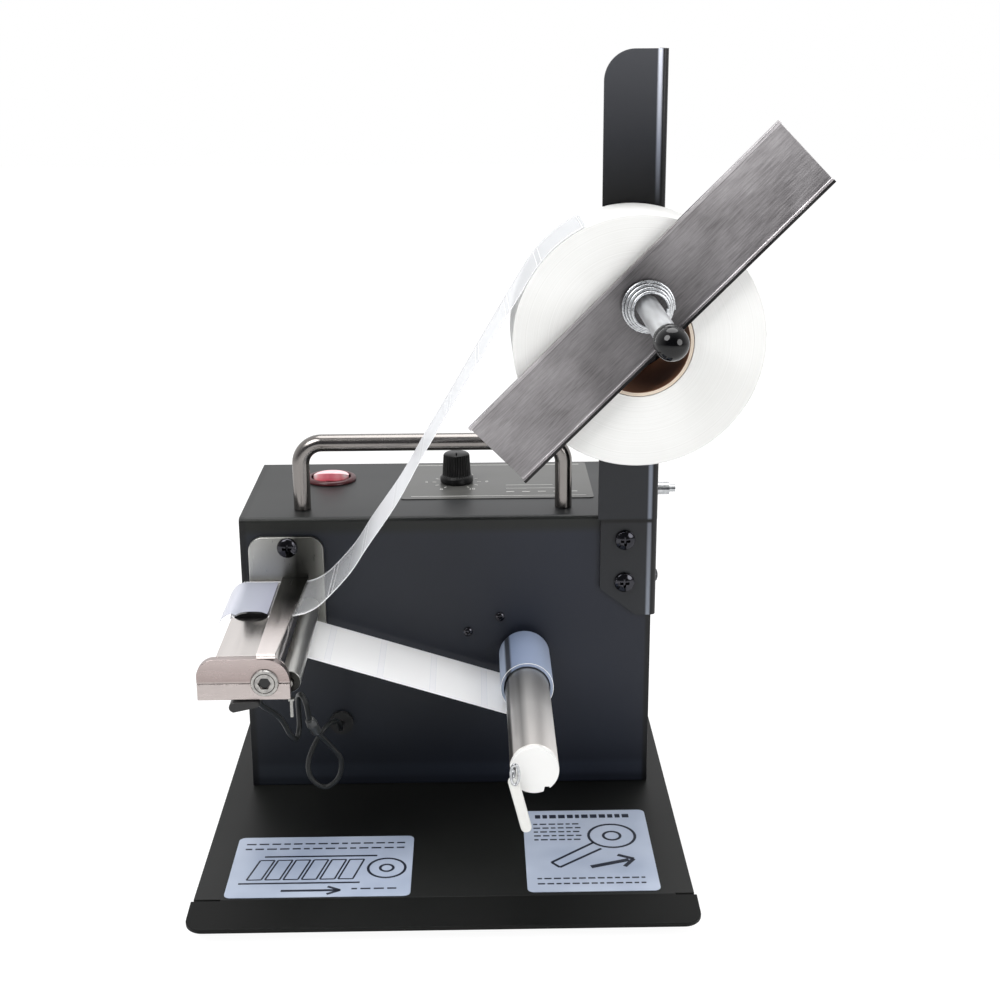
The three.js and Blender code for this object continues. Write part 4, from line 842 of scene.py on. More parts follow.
class DISPENSER_OT_controls(Piece):
    """Control label with its dial, speed knob and power switch"""

    bl_idname = "dispenser.controls"
    bl_label = "Controls"

    def build(self, s):
        top = s["housing_high"]
        # Printed polycarbonate film: grey, smooth and satin.
        film = moulded_plastic("control_label_film", *tones("label"), 0.34, 300, 0.01)
        sheet = slab(rounded(-23, 73.7, 29, 95, 2), top + 0.1, top + 0.4, "Z")
        piece("control_label_film", (film, "machine", "label_film"), "control_label", sheet)
        # Printed ink: off-white and even.
        white = moulded_plastic("dial_ink", "C8C8C4", "D4D4D0", 0.5)
        levels = top + 0.38, top + 0.48
        marks = []
        for i in range(11):
            tick = np.outer((10.6, 12.6), self.towards(i)) + DIAL
            marks.append(printed(tick, levels, 0.45))
        rules = [((-18, 33), (70, 33), 0.5), ((-18, 91), (70, 91), 0.5)]
        rules += [((30 + 8 * i, 40), (34 + 8 * i, 40), 0.9) for i in range(5)]
        rules += [((30, 46), (62, 46), 0.5), ((30, 52), (54, 52), 0.5)]
        marks += [printed((first, last), levels, wide) for first, last, wide in rules]
        piece("dial_marks", (white, "machine", "label_film"), "", *marks)
        self.numbers(white, top)
        # Moulded ABS: deep black with a low sheen.
        dark = moulded_plastic("knob_plastic", *tones("knob"), 0.38, gloss=0.25)
        profile = [(0.01, 0.8), (8.2, 0.8), (8.5, 1.1), (8.5, 3.4), (8.2, 3.8), (7.5, 4.4)]
        profile += [(7.35, 4.8), (6.75, 14.9), (6.4, 15.6), (5.8, 16.0), (0.01, 16.0)]
        grooves, deep, around = 32, 0.55, 192
        swell = np.zeros((len(profile), around))
        swell[6:8] = deep * (np.abs(np.cos(grooves / 2 * circle(around))) - 1)
        rings = turned(profile, (*DIAL, top), "Z", around, swell)
        piece("speed_knob_cap", (dark, "knob", "knob_plastic"), "speed_knob", rings, sharp=40)
        pointer = slab(rounded(4.3, 5.1, 53.2, 58.5, 0.3, 3), top + 15.9, top + 16.0, "Z")
        piece("speed_knob_pointer", (white, "knob", "knob_plastic"), "", pointer)
        # Moulded nylon: dark red with a soft gloss.
        bezel = moulded_plastic("switch_bezel_plastic", "3C0A10", "4C0E16", 0.35)
        ring = [(0.01, -18), (11, -18), (11, 0.3), (13, 0.3), (13, 1.0), (12.6, 1.7)]
        ring += [(11.8, 2.1), (10.7, 2.1), (10.35, 1.8), (10.3, -6.4), (0.01, -6.4)]
        rings = turned(ring, (*SWITCH, top), "Z")
        piece("switch_bezel", (bezel, "machine", "switch_plastic"), "switch_body", rings, sharp=40)
        # Moulded polycarbonate, glossy, with a painted highlight: red low down and along its front
        # edge, paling to near white towards its raised top.
        red = moulded_plastic("red_rocker_polycarbonate", "A01420", "B01A26", 0.3, coat=0.15)
        rise = {143: "D4606A", 144.2: "FFCCD0", 145.6: "FFF2F2", 146.4: "FFF2F2"}
        tint(red, Z=rise, Y={57.8: "D87080", 60.2: "F0A0A8", 62.2: "FFF8F8", 76.2: "FFF8F8"})
        look = red, "rocker", "rocker_plastic"
        piece("rocker_cap", look, "switch_rocker", self.rocker(top), sharp=40)

    def towards(self, i):
        """Where a mark of the dial stands from its middle."""
        a = math.radians(240 - 30 * i)
        return math.cos(a), math.sin(a)

    def numbers(self, material, top):
        """Plain numbers round the dial, made meshes before they are placed."""
        parts = []
        for i in range(0, 11, 2):
            curve = bpy.data.curves.new("number", "FONT")
            curve.body = str(i)
            curve.size, curve.extrude = 3.4, 0.04
            curve.align_x = curve.align_y = "CENTER"
            holder = linked("number", curve)
            graph = bpy.context.evaluated_depsgraph_get()
            mesh = bpy.data.meshes.new_from_object(holder.evaluated_get(graph))
            bpy.data.objects.remove(holder)
            points = np.empty(len(mesh.vertices) * 3)
            mesh.vertices.foreach_get("co", points)
            u, v = self.towards(i)
            middle = DIAL[0] + 15.6 * u, DIAL[1] + 15.6 * v, top + 0.44
            faces = [np.array([face.vertices[:]]) for face in mesh.polygons]
            parts.append((place(points.reshape(-1, 3) + middle), faces))
            bpy.data.meshes.remove(mesh)
        dress(solid("dial_numbers", parts), (material, "machine", "label_film"))

    def rocker(self, top):
        """A round rocker: its top dips in a smooth valley along X and its underside is a keel; the
        whole is turned about its pivot."""
        rim = 9.2
        radii = np.concatenate([np.linspace(0.01, 9.1, 18), [rim, rim], np.linspace(9.1, 0.01, 24)])
        under = np.arange(len(radii)) < 19
        a = circle(AROUND)
        x, y = radii[:, None] * np.cos(a), radii[:, None] * np.sin(a)
        valley = 1.3 + 1.9 * np.clip(np.sqrt(y**2 + 1.2) / rim, 0, 1)
        height = np.where(under[:, None], -3.2 + 2.6 * np.abs(y) / rim, valley)
        tilt = math.radians(-10)
        over = SWITCH[1] + y * math.cos(tilt) - height * math.sin(tilt)
        up = top + 1 + y * math.sin(tilt) + height * math.cos(tilt)
        return np.stack([SWITCH[0] + x, over, up], axis=-1)


class DISPENSER_OT_handle(Piece):
    """Bow handle of bent rod"""

    bl_idname = "dispenser.handle"
    bl_label = "Handle"

    def build(self, s):
        left, right, y, foot = -70.6, 57.4, 15.2, s["housing_high"] + 0.1
        bar, r = s["housing_high"] + s["rise"], 10.5
        flat = outline(
            [(left, foot + 0.01), (left, foot + 3)],
            arc(left + r, bar - r, r, 180, 90, 24),
            arc(right - r, bar - r, r, 90, 0, 24),
            [(right, foot + 3), (right, foot + 0.01)],
        )
        path = np.insert(flat, 1, y, axis=1)
        # Polished stainless rod: a dark, even mirror.
        steel = bright_steel("satin_stainless_rod", "7E7A77", "86827F", 0.2, (60, 60, 60), 0)
        look = steel, "machine", "handle_steel"
        piece("handle_rod", look, "handle", tube(path, s["rod"], 40), bevel=0.3)
        # Zinc plate on steel: grey and a little dull.
        zinc = bright_steel("zinc_plate", "8A8A88", "A8A8A6", 0.3)
        give("handle_screw_left handle_screw_right", zinc)


class DISPENSER_OT_upright(Piece):
    """Roll upright with its screws and side stud"""

    bl_idname = "dispenser.upright"
    bl_label = "Upright"

    def build(self, s):
        # Satin black, with painted light and shade: a painted highlight along the bend and painted
        # shade on the flange beyond it, lightest at the top, with painted shade just above the roll
        # and a painted shadow line at the step.
        coat = powder_coat("upright_powder_coat", "2C2F30", "3A3D3E", 0.4, 0.35)
        rise = {91: "7E848E", 138.7: "6C7079", 138.9: "000000", 140.9: "000000", 141.1: "767C88"}
        rise |= {180: "767C88", 290: "0C0D0D", 318: "868B98", 358.5: "E6EAF6"}
        painted_bend_light_and_shade = {73: "4B4B4B", 96.8: "4B4B4B", 97.7: "FFFFFF", 98.7: "FFFFFF", 99.5: "1C1C1C"}
        tint(coat, Z=rise, X=painted_bend_light_and_shade | {102.1: "1C1C1C"})
        bend, right, top, corner = 2.6, 102.1, 358.5, 14
        a = np.radians(np.linspace(0, 90, 25))
        x = np.append(right - 28.8 + corner * (1 - np.cos(a)), right - bend)
        high = np.append(top - corner * (1 - np.sin(a)), top)
        leg = self.bent(x, np.full(len(x), 140.0), high, -2.8, right, bend)
        x, low = np.array([74.6, 92.3, right - bend]), np.array([105, 91.1, 91.1])
        foot = self.bent(x, low, np.full(3, 141.8), -2.1, right, bend)
        look = coat, "machine", "upright_paint"
        piece("upright_angle", look, "roll_upright", leg, foot, bevel=0.3)
        # Black oxide on steel: dark, smooth and shiny.
        oxide = bright_steel("black_oxide_screw", "303034", "48484C", 0.14, (60, 60, 60), 0)
        pan, panel, motor = (4.95, 2.8, 4.6), (3.2, 1.8, 3.0), (2.3, 1.4, 2.4)
        for name, centre, facing, head in (
            ("upright_screw_upper", (86.5, -2.4, 130), "Y", pan),
            ("upright_screw_lower", (86.5, -2.4, 108.4), "Y", pan),
            ("peeler_mount_screw", (-76.7, -3.6, 128.3), "Y", pan),
            ("side_panel_screw", (102.4, 9, 108), "X", panel),
            ("motor_screw_left", (9.91, -0.3, 82.54), "Y", motor),
            ("motor_screw_right", (25.73, -0.3, 90.26), "Y", motor),
        ):
            rings = screw_head(centre, facing, *head)
            piece(name + "_head", (oxide, "machine", "screw_black"), name, rings, sharp=30)
        # Nickel plate: pale and bright.
        give("side_stud axle_nut", bright_steel("nickel_plate", "A8AAAC", "C4C6C8", 0.22))

    def bent(self, x, low, high, front, right, r, back=19.2, t=1.8):
        """A sheet bent once: four-cornered rings, two on its outer face and two on its inner, at
        each x of the leg, at each angle of the bend and at the flange's end."""
        turn = arc(0, 0, 1, -90, 0, 12)
        pivot = np.array((right - r, front + r))
        flat = np.stack([x, np.full(len(x), float(front))], axis=-1)[:-1]
        outer = np.concatenate([flat, pivot + r * turn, [(right, back)]])
        inner = np.concatenate([flat + (0, t), pivot + (r - t) * turn, [(right - t, back)]])
        more = len(outer) - len(x)
        low, high = (np.append(level, np.full(more, level[-1])) for level in (low, high))
        columns = ((outer, low), (outer, high), (inner, high), (inner, low))
        return np.stack([np.column_stack(column) for column in columns], axis=1)


class DISPENSER_OT_axle(Piece):
    """Roll axle and its ball cap"""

    bl_idname = "dispenser.axle"
    bl_label = "Axle"

    def build(self, s):
        (x, z), r, neck, end = AXLE, s["axle"], 3.1, 136
        # Ground steel: pale, with a soft broad shine.
        steel = bright_steel("ground_axle_steel", "D2D4D6", "DEE0E2", 0.42, stretch=(400, 40, 400))
        profile = [(0.01, -8), (3, -8), (3, neck), (r - 0.4, neck), (r, neck + 0.4)]
        profile += [(r, end - 0.4), (r - 0.4, end), (0.01, end)]
        look = steel, "machine", "axle_steel"
        piece("axle_rod", look, "roll_axle", turned(profile, (x, 0, z)), sharp=40)
        # Dipped vinyl: black and glossy, with one clear highlight.
        gloss = moulded_plastic("black_cap_vinyl", *tones("cap"), 0.1, coat=0.05, gloss=0.35)
        wall = [(0.01, 5.9), (5.1, 5.8), (5.1, 0.3), (5.3, 0), (6.1, 0), (6.5, 0.5), (6.7, 1.3)]
        wall += [(6.7, 3.8), (6.35, 4.4), (6.2, 5.0), (6.35, 5.6), (6.6, 6.5), (6.7, 7.4)]
        a = np.radians(np.linspace(0, 90, 24))[1:]
        dome = np.stack([6.7 * np.cos(a), 7.4 + 6.5 * np.sin(a)], axis=-1)
        rings = turned(outline(wall, dome), (x, -130.5, z))
        piece("axle_ball_cap", (gloss, "machine", "cap_plastic"), "axle_cap", rings, sharp=50)


class DISPENSER_OT_guide(Piece):
    """Guide bar and its spring"""

    bl_idname = "dispenser.guide"
    bl_label = "Guide bar"

    def build(self, s):
        x, z = AXLE
        half, long = s["bar_wide"] / 2, s["bar_long"] / 2
        back, face, lips, t, r = -52.8, -54.3, -57.7, 1.5, 1.9
        section = outline(
            [(-half, lips)],
            arc(-half + r, back - r, r, 180, 90, 8),
            arc(half - r, back - r, r, 90, 0, 8),
            [(half, lips), (half - t, lips)],
            arc(half - t - 0.5, face - 0.5, 0.5, 0, 90, 4),
            arc(-half + t + 0.5, face - 0.5, 0.5, 90, 180, 4),
            [(-half + t, lips)],
        )
        turn = math.radians(45)
        u = np.array((math.cos(turn), 0, math.sin(turn)))
        w = np.array((-math.sin(turn), 0, math.cos(turn)))
        across = section[:, :1] * w + section[:, 1:] * np.array((0, 1, 0))
        rings = np.stack([np.array((x, 0, z)) + k * long * u + across for k in (-1, 1)])
        grain = (0, turn, 0), (90, 1600, 1600)
        steel = brushed_steel("brushed_stainless_bar", "9F9B9C", "E9E5E7", *grain, 0.4, 0.012)
        self.edges(steel, (x, 0, z), turn, half, long)
        piece("guide_channel", (steel, "bar", "bar_steel"), "guide_bar", rings, bevel=0.2)
        self.spring(s, x, face, z)

    def edges(self, steel, centre, turn, half, long):
        """Painted light and shade: painted highlights on the rolled lips with a painted shadow line
        at the lower one, and painted shade that dulls the middle: one grey that runs across the bar
        and one along it."""
        tree = steel.node_tree
        shader = next(n for n in tree.nodes if n.type == "BSDF_PRINCIPLED")
        space = turned_space(tree, place(centre), (0, turn, 0))
        parts = add(tree, "SeparateXYZ", {"Vector": space}, None).outputs
        over = (0, 0.06), (0.036, 0.06), (0.046, 1), (0.06, 1), (0.08, 0.62), (0.5, 0.56)
        over += (0.93, 0.62), (0.945, 0.3), (0.962, 1), (1, 1)
        along = (0, 0.8), (0.2, 0.82), (0.4, 0.46), (0.52, 0.4), (0.65, 0.72), (0.85, 1), (1, 0.95)
        colours = [shader.inputs["Base Color"].links[0].from_socket]
        for axis, reach, stops in (("Z", half, over), ("X", long, along)):
            ends = {"From Min": -reach * MM, "From Max": reach * MM}
            share = add(tree, "MapRange", {"Value": parts[axis], **ends})
            colours.append(add(tree, "ValToRGB", {"Fac": share}, stops=greys(stops)))
        fill(tree, shader, {"Base Color": product(tree, colours)})

    def spring(self, s, x, face, z):
        """A cone of wire: the radius falls and the height grows evenly with the angle, from the bar
        to the axle, with a straight end of one wire's thickness at each end."""
        wire, wide, narrow, tall = s["wire"], 11.4, 7.1, 12
        turns = bpy.context.scene.dispenser_sizes.turns
        a = np.linspace(0, TAU * turns, 48 * turns + 1)
        share = a / a[-1]
        radius = wide + (narrow - wide) * share
        y = face - 0.3 - wire - tall * share
        coil = np.stack([x + radius * np.cos(a), y, z + radius * np.sin(a)], axis=-1)

        def tail(end, before):
            """A point straight on from the end."""
            return end + 2 * wire * (end - before) / np.linalg.norm(end - before)

        path = np.concatenate([[tail(coil[0], coil[1])], coil, [tail(coil[-1], coil[-2])]])
        # Drawn spring wire: pale and bright.
        steel = bright_steel("spring_wire", "BCBEC0", "DCDEE0", 0.28)
        look = steel, "spring", "spring_wire"
        piece("spring_wire_coil", look, "guide_spring", tube(path, wire, 14), sharp=50)


class DISPENSER_OT_roll(Piece):
    """Label roll on its core"""

    bl_idname = "dispenser.roll"
    bl_label = "Label roll"

    def build(self, s):
        deep, r, hole, edge = 47.6, s["roll"], 23.9, 0.5
        a = np.radians(np.linspace(0, 90, 6))
        near = np.stack([r - edge + edge * np.sin(a), edge - edge * np.cos(a)], axis=-1)
        far = np.stack([r - edge + edge * np.cos(a), deep - edge + edge * np.sin(a)], axis=-1)
        profile = outline([(hole, 0)], near, far, [(hole, deep)])
        # Wound label stock: white and matt, with faint rings on its ends.
        paper = wound_paper("label_stock_roll", *tones("roll"), ROLL, see=0.1)
        look = paper, "roll", "label_paper"
        rings = turned(profile, ROLL, around=160)
        piece("roll_paper", look, "label_roll", rings, sharp=40, path_closed=True)
        # Wound board: brown and matt.
        board = wound_paper("core_board", "6B4630", "8A5E42", ROLL, pitch=0.9)
        low, high = 21.9, 23.6
        wall = [(low, -0.3), (low + 0.3, -0.5), (high - 0.2, -0.5), (high, -0.3)]
        wall += [(high, deep + 0.3), (high - 0.2, deep + 0.5), (low + 0.3, deep + 0.5)]
        wall += [(low, deep + 0.3)]
        rings = turned(wall, ROLL, around=128)
        look = board, "roll", "core_board"
        piece("roll_core_board", look, "roll_core", rings, sharp=50, path_closed=True)
        # Cut board: pale and fibrous.
        cut = wound_paper("core_cut_edge", "C9B8A4", "E2D6C6", ROLL, pitch=0.9)
        rim = box(low + 0.2, high - 0.1, deep + 0.45, deep + 0.6)
        rings = turned(rim, ROLL, around=128)
        piece("core_rim", (cut, "roll", "core_board"), "", rings, sharp=50, path_closed=True)


class DISPENSER_OT_web(Piece):
    """Label web, the label peeled at the edge and the waste liner"""

    bl_idname = "dispenser.web"
    bl_label = "Label web"

    def build(self, s):
        rest, landing, edge = 111.45, -69.0, -97.4
        leave = math.radians(59.5)
        r = s["roll"] + 0.3 + 0.25
        x, _, z = ROLL
        top = np.array((x - r * math.sin(leave), z + r * math.cos(leave)))
        bow = [(0.554, 0.479), (0.45, 0.35), (0.32, 0.216), (0.238, 0.128)]
        bow += [(0.122, 0.04), (0.056, 0.01), (0, 0)]
        straight = 1 + np.array([0, 0.25, 0.5, 0.7, 0.85])[:, None] * (np.array(bow[0]) - 1)
        corner = np.array((landing, rest))
        course = corner + (top - corner) * np.concatenate([straight, bow])
        turn = math.degrees(leave) + 90
        course = np.concatenate([arc(x, z, r, turn - 34, turn, 12)[:-1], course])
        curve = smooth_path(np.insert(course, 1, 0, axis=1), 180)[:, (0, 2)]
        plate = np.stack([np.linspace(landing, edge, 60)[1:], np.full(59, rest)], axis=-1)
        curve = np.concatenate([curve, plate])
        far = travelled(curve)[-1]

        def lift(along, across):
            """A hump over the sensor at the front, and slow waves that die out at both ends."""
            left = np.clip((far - along) / 17.5, 0, 1)
            hump = 1 - np.abs(2 * left - 1) ** 3.5
            front = np.exp(-((across / HUMP_WIDE) ** 2))
            ends = np.clip(along / 30, 0, 1) * np.clip((far - 45 - along) / 30, 0, 1)
            return HUMP * hump * front + 0.25 * np.sin(along / 21.0 + 2.2 * across) * ends

        rings, chart = strip(curve, WEB_FRONT, WEB_BACK, 0.3, 30, lift)
        # Opacity along the web, from the roll to the peel edge: painted light, so that the web is
        # palest in the middle of its run down and darker and more see-through near the roll, low
        # down and on the plate.
        seen = (0, 0.42), (0.4, 0.55), (0.58, 0.85), (0.66, 0.72), (0.76, 0.26), (0.84, 0.14)
        seen += ((1, 0.1),)
        tone = "E2E4E7", "E8EAED", "F8F9FB"
        # Siliconed paper: thin, see-through and glossy, its labels paler.
        glassine = label_strip("label_web_glassine", *tone, s["pitch"], (far, seen))
        look = glassine, "machine", "liner_paper"
        piece("web_strip", look, "label_web", rings, sharp=60, chart=chart)
        self.peeled()
        share = np.linspace(-1, 1, 25)
        arch = np.stack([-88.6 + 7.6 * share, 110.95 + 1.9 * (1 - np.abs(share) ** 3.5)], axis=-1)
        # A black arch under the web's hump: painted shade in the gap under the web.
        black = moulded_plastic("sensor_eye_acrylic", "020203", "050506", 0.2)
        look = black, "machine", "sensor_plastic"
        piece("sensor_eye", look, "", slab(arch, -51.3, -48.9), sharp=40)
        self.waste(s)

    def peeled(self):
        """The label that has left its liner: flat on the web, then free and a little low."""
        run = [(-81.2, 111.95), (-90, 111.95), (-98, 111.95), (-101.88, 109.9), (-103.8, 107.2)]
        path = smooth_path(np.insert(np.array(run), 1, 0, axis=1), 44)

        def lift(along, across):
            """The same hump, seen from the label's own start."""
            window = 1 - np.abs(2 * np.clip((along - 0.2) / 16.5, 0, 1) - 1) ** 3.5
            return HUMP * window * np.exp(-(((across + 0.04) / HUMP_WIDE) ** 2))

        rings, _ = strip(path[:, (0, 2)], -48.9, -7.5, 0.16, 30, lift)
        # Coated paper: white, greyer where the web shoe shades it.
        white = moulded_plastic("label_face_paper", "B8BAC6", "C2C4D0", 0.5, 500, 0.02)
        tint(white, X={-104: "D0D1D8", -99: "C0C2CC", -95: "9C9FAA", -81: "9294A2"})
        look = white, "machine", "label_paper"
        piece("peeled_label_sheet", look, "peeled_label", rings, sharp=60)

    def waste(self, s):
        """The liner's course: round the edge, under the shaft and the roller, and to the spindle,
        each run the common tangent of the circles that it passes."""
        wrap, hx, hz, hr, angle = 0.55, -91.4, 110.9 - 1.5 - 0.55, 0.0, None
        points = [(-97.95, 111.7), (-97.95, 110.25), (hx, hz)]
        for (x, z), r in ((SHAFT, SHAFT_RADIUS), (ROLLER, ROLLER_RADIUS), (SPINDLE, WOUND)):
            r += wrap
            far = math.hypot(x - hx, z - hz)
            following = math.atan2(z - hz, x - hx) + math.asin((hr - r) / far)
            if angle is not None:
                ends = math.degrees(angle) - 90, math.degrees(following) - 90
                points += [tuple(p) for p in arc(hx, hz, hr, *ends, 8)]
            angle, hx, hz, hr = following, x, z, r
        points.append((hx + hr * math.sin(angle), hz - hr * math.cos(angle)))
        points = np.array(points)
        far = travelled(points)
        even = np.unique(np.concatenate([far, np.linspace(0, far[-1], 160)]))
        course = np.stack([np.interp(even, far, points[:, k]) for k in (0, 1)], axis=-1)
        rings, chart = strip(course, WEB_FRONT, WEB_BACK, 0.24, 12)
        # The same liner with its labels off: white against the dark housing.
        liner = label_strip("waste_liner_glassine", "FAFAFC", "FEFEFE", "EEF0F4", s["pitch"])
        look = liner, "machine", "liner_paper"
        piece("waste_strip", look, "waste_liner", rings, sharp=60, chart=chart)


class DISPENSER_OT_peeler(Piece):
    """Peeler: mount plate, peeling plate, end plates, shaft, roller and pins"""

    bl_idname = "dispenser.peeler"
    bl_label = "Peeler"

    def build(self, s):
        (px, pz), r, front, back, ends = SHAFT, 10.7, -97, -3.6, (-101.3, -97.3)
        grain = (0, 0, 0), (900, 900, 140)
        # Brushed stainless steel: fine upright streaks, with painted shade in a dark band to the
        # right of the peeler.
        steel = brushed_steel("brushed_mount_plate", "8E8E89", "A8A8A3", *grain, 0.34, 0.005)
        painted_light_and_shade = {-95.7: "B6B6B2", -80: "AEAEA9", -76: "90908B", -72.5: "50504C"}
        tint(steel, X=painted_light_and_shade | {-64: "5E5E5A", -59.4: "8A8A85"})
        corners = arc(-66.4, 126.3, 7, 0, 90), arc(-88.7, 126.3, 7, 90, 180)
        plate = slab(outline([(-95.7, 82), (-59.4, 82)], *corners), -3.3, -0.3)
        look = steel, "machine", "mount_steel"
        piece("mount_plate", look, "peeler_mount_plate", plate, bevel=0.4)
        polish = (300, 20, 300)
        # Polished stainless steel: a warm, clear mirror.
        mirror = bright_steel("polished_peeler_steel", "D6D0CC", "E0DAD6", 0.15, stretch=polish)
        lip = math.degrees(math.acos((-68.3 - px) / r))
        plate = outline(
            arc(px, pz, r, lip, 90, 24),
            [(-97.4, 110.9), (-97.4, 110.5), (-91.4, 109.4)],
            arc(px, pz, r - 1.5, 90, lip, 24),
        )
        look = mirror, "machine", "peeler_steel"
        piece("peeling_plate", look, "peeler_plate", slab(plate, front, back), bevel=0.12)
        left, right, tip = -79.7, -71.5, ends[0]
        hold = slab([(left, tip), (right, tip), (ROLLER[0], back), (left, back)], 112.3, 113.3, "Z")
        foot = slab(box(left, right, tip, -100.1), 111.2, 112.3, "Z")
        # Polished spring steel, with painted light and shade: pale in front and dark towards the
        # housing.
        folded = bright_steel("polished_shoe_steel", "D6D0CC", "E0DAD6", 0.24, stretch=polish)
        painted_light_and_shade = {tip: "FFF6F2", -72: "F0E6E2", -52: "9A9490", -34: "4C4A46", -3.6: "3A3A36"}
        tint(folded, Y=painted_light_and_shade)
        look = folded, "machine", "peeler_steel"
        piece("web_shoe", look, "web_hold_down", hold, foot, bevel=0.2)
        grain = (0, 0, 0), (140, 900, 900)
        # Satin stainless steel: warm and soft, with painted shade in a band just above the seam
        # between the two plates, fading upwards.
        satin = brushed_steel("satin_end_plate", "B4AAA7", "C6BDBA", *grain, 0.3, 0.003)
        tint(satin, Z={92.3: "B6ADAA", 100: "B4ABA8", 101: "9C8F8C", 111: "B2A6A3"})
        left, right = -105.7, px + r
        arcs = arc(px, pz, r, 0, 90, 24), arc(-97.7, 102.9, 8, 90, 180, 16)
        look = satin, "machine", "end_steel"
        upper = slab(outline([(left, 100), (right, 100)], *arcs), *ends)
        piece("end_plate_upper", look, "peeler_end_upper", upper, bevel=0.35)
        lower = slab(box(left, right, 92.3, 99.7), *ends)
        piece("end_plate_lower", look, "peeler_end_lower", lower, bevel=0.35)
        self.bush(px, pz)
        polish = (200, 15, 200)
        # Polished tube: pale, with a dark ring at its front end.
        shiny = bright_steel("polished_roller_tube", "CCCCC8", "DADAD6", 0.34, stretch=polish)
        tint(shiny, Y={-95: "30302E", -94.7: "D3D3CF", -4: "D3D3CF"})
        bore, edge, r, long = 2.2, 0.3, ROLLER_RADIUS, 91.1
        profile = [(bore, 0), (r - edge, 0), (r, edge), (r, long - edge), (r - edge, long)]
        profile.append((bore, long))
        rings = turned(profile, (ROLLER[0], -3.9, ROLLER[1]))
        look = shiny, "roller", "axle_steel"
        piece("roller_tube", look, "guide_roller", rings, sharp=40, path_closed=True)
        give("roller_pin stop_pin", bright_steel("pin_steel", "8E8E8A", "A4A4A0", 0.3))

    def bush(self, px, pz):
        """The shaft and its broad end: rings turned about its axis, the inner ones six-sided."""
        a = circle(AROUND)
        six = 2.9 * math.cos(math.pi / 6) / np.cos((a % (TAU / 6)) - math.pi / 6)
        rows = [(0.01, -3.6), (SHAFT_RADIUS, -3.6), (SHAFT_RADIUS, -97.0), (6.05, -97.0)]
        rows += [(6.1, -101.9), (5.7, -102.5), (4.6, -102.5), (4.4, -102.1), (4.2, -102.5)]
        rows += [(six, -102.5), (six, -97.6), (0.01, -97.5)]
        rings = np.empty((len(rows), AROUND, 3))
        for row, (radius, y) in zip(rings, rows):
            row[:, 0], row[:, 1], row[:, 2] = px + radius * np.cos(a), y, pz + radius * np.sin(a)
        # Turned steel: grey, with clear edges.
        steel = bright_steel("turned_bush_steel", "8C8A88", "B4B2AE", 0.24)
        look = steel, "machine", "axle_steel"
        piece("bush_and_shaft", look, "support_shaft", rings, sharp=30)
        # A black disc inside the six-sided hole: painted shade.
        black = moulded_plastic("key_hole_shade", "040404", "080808", 0.3)
        rings = turned([(0.01, 0), (2.4, 0), (2.4, 1), (0.01, 1)], (px, -100.6, pz))
        piece("key_hole", (black, "machine", "axle_steel"), "", rings)


class DISPENSER_OT_sensor(Piece):
    """Sensor lever, its cable with a connector sleeve, and the grommet"""

    bl_idname = "dispenser.sensor"
    bl_label = "Sensor and cable"

    def build(self, s):
        # Moulded ABS: black and matt.
        dark = moulded_plastic("sensor_lever_plastic", "141414", "1E1E1E", 0.45)
        lever = outline(arc(-90, 89.4, 2.3, 90, 262, 16), arc(-80.6, 90.6, 1.4, -82, 90, 16))
        look = dark, "machine", "sensor_plastic"
        piece("sensor_lever_arm", look, "sensor_lever", slab(lever, -103, -84), bevel=0.4)
        # Extruded PVC: soft black.
        jacket = moulded_plastic("pvc_cable_jacket", "1A1C1C", "242626", 0.4, gloss=0.3)
        upper = [(-81.2, -87, 88.6), (-81.2, -87, 85.4), (-80.6, -85.4, 82.6), (-74.5, -75, 71.7)]
        upper += [(-70.6, -70, 60.9), (-68.6, -65, 57), (-67.5, -62, 62), (-67.5, -63, 71)]
        upper += [(-67, -66, 78), (-65, -70, 80.5), (-63.2, -70, 76.5), (-62.4, -67, 67.5)]
        loop = [(-59.4, -62.2, 58), (-54.5, -58, 50), (-49.8, -55, 41), (-51.5, -54, 31)]
        loop += [(-57.8, -54, 26.5), (-64, -54, 31), (-65.2, -53, 39), (-61.5, -50, 48)]
        loop += [(-57, -46, 53.6), (-53, -36, 52), (-52.5, -22, 42), (-53.9, -9, 35.1)]
        loop += [(-53.9, -5, 35), (-53.9, 0, 35), (-53.9, 5, 35), (-53.9, 9, 35)]
        look = jacket, "machine", "cable_jacket"
        rings = tube(smooth_path(upper, 120), 1.2, 20)
        piece("cable_upper", look, "sensor_cable_front", rings, sharp=60)
        rings = tube(smooth_path(loop, 220), 1.2, 20)
        piece("cable_loop", look, "sensor_cable_loop", rings, sharp=60)
        a, b = np.array(upper[-1], dtype=float), np.array(loop[0], dtype=float)
        share = np.array([0.03, 0.06, 0.1, 0.3, 0.34, 0.4, 0.44, 0.86, 0.9, 0.97])
        wide = np.array([1.2, 1.9, 2.2, 2.4, 2.6, 2.6, 2.4, 2.4, 2.2, 1.2])
        rings = tube(a + (b - a) * share[:, None], wide, 32)
        # Moulded nylon: dark grey and smooth.
        sleeve = moulded_plastic("connector_sleeve_nylon", "343636", "404242", 0.35)
        piece("sleeve", (sleeve, "machine", "cable_jacket"), "cable_sleeve", rings, sharp=40)
        give("cable_grommet", moulded_plastic("grommet_rubber", "161616", "1E1E1E", 0.7))


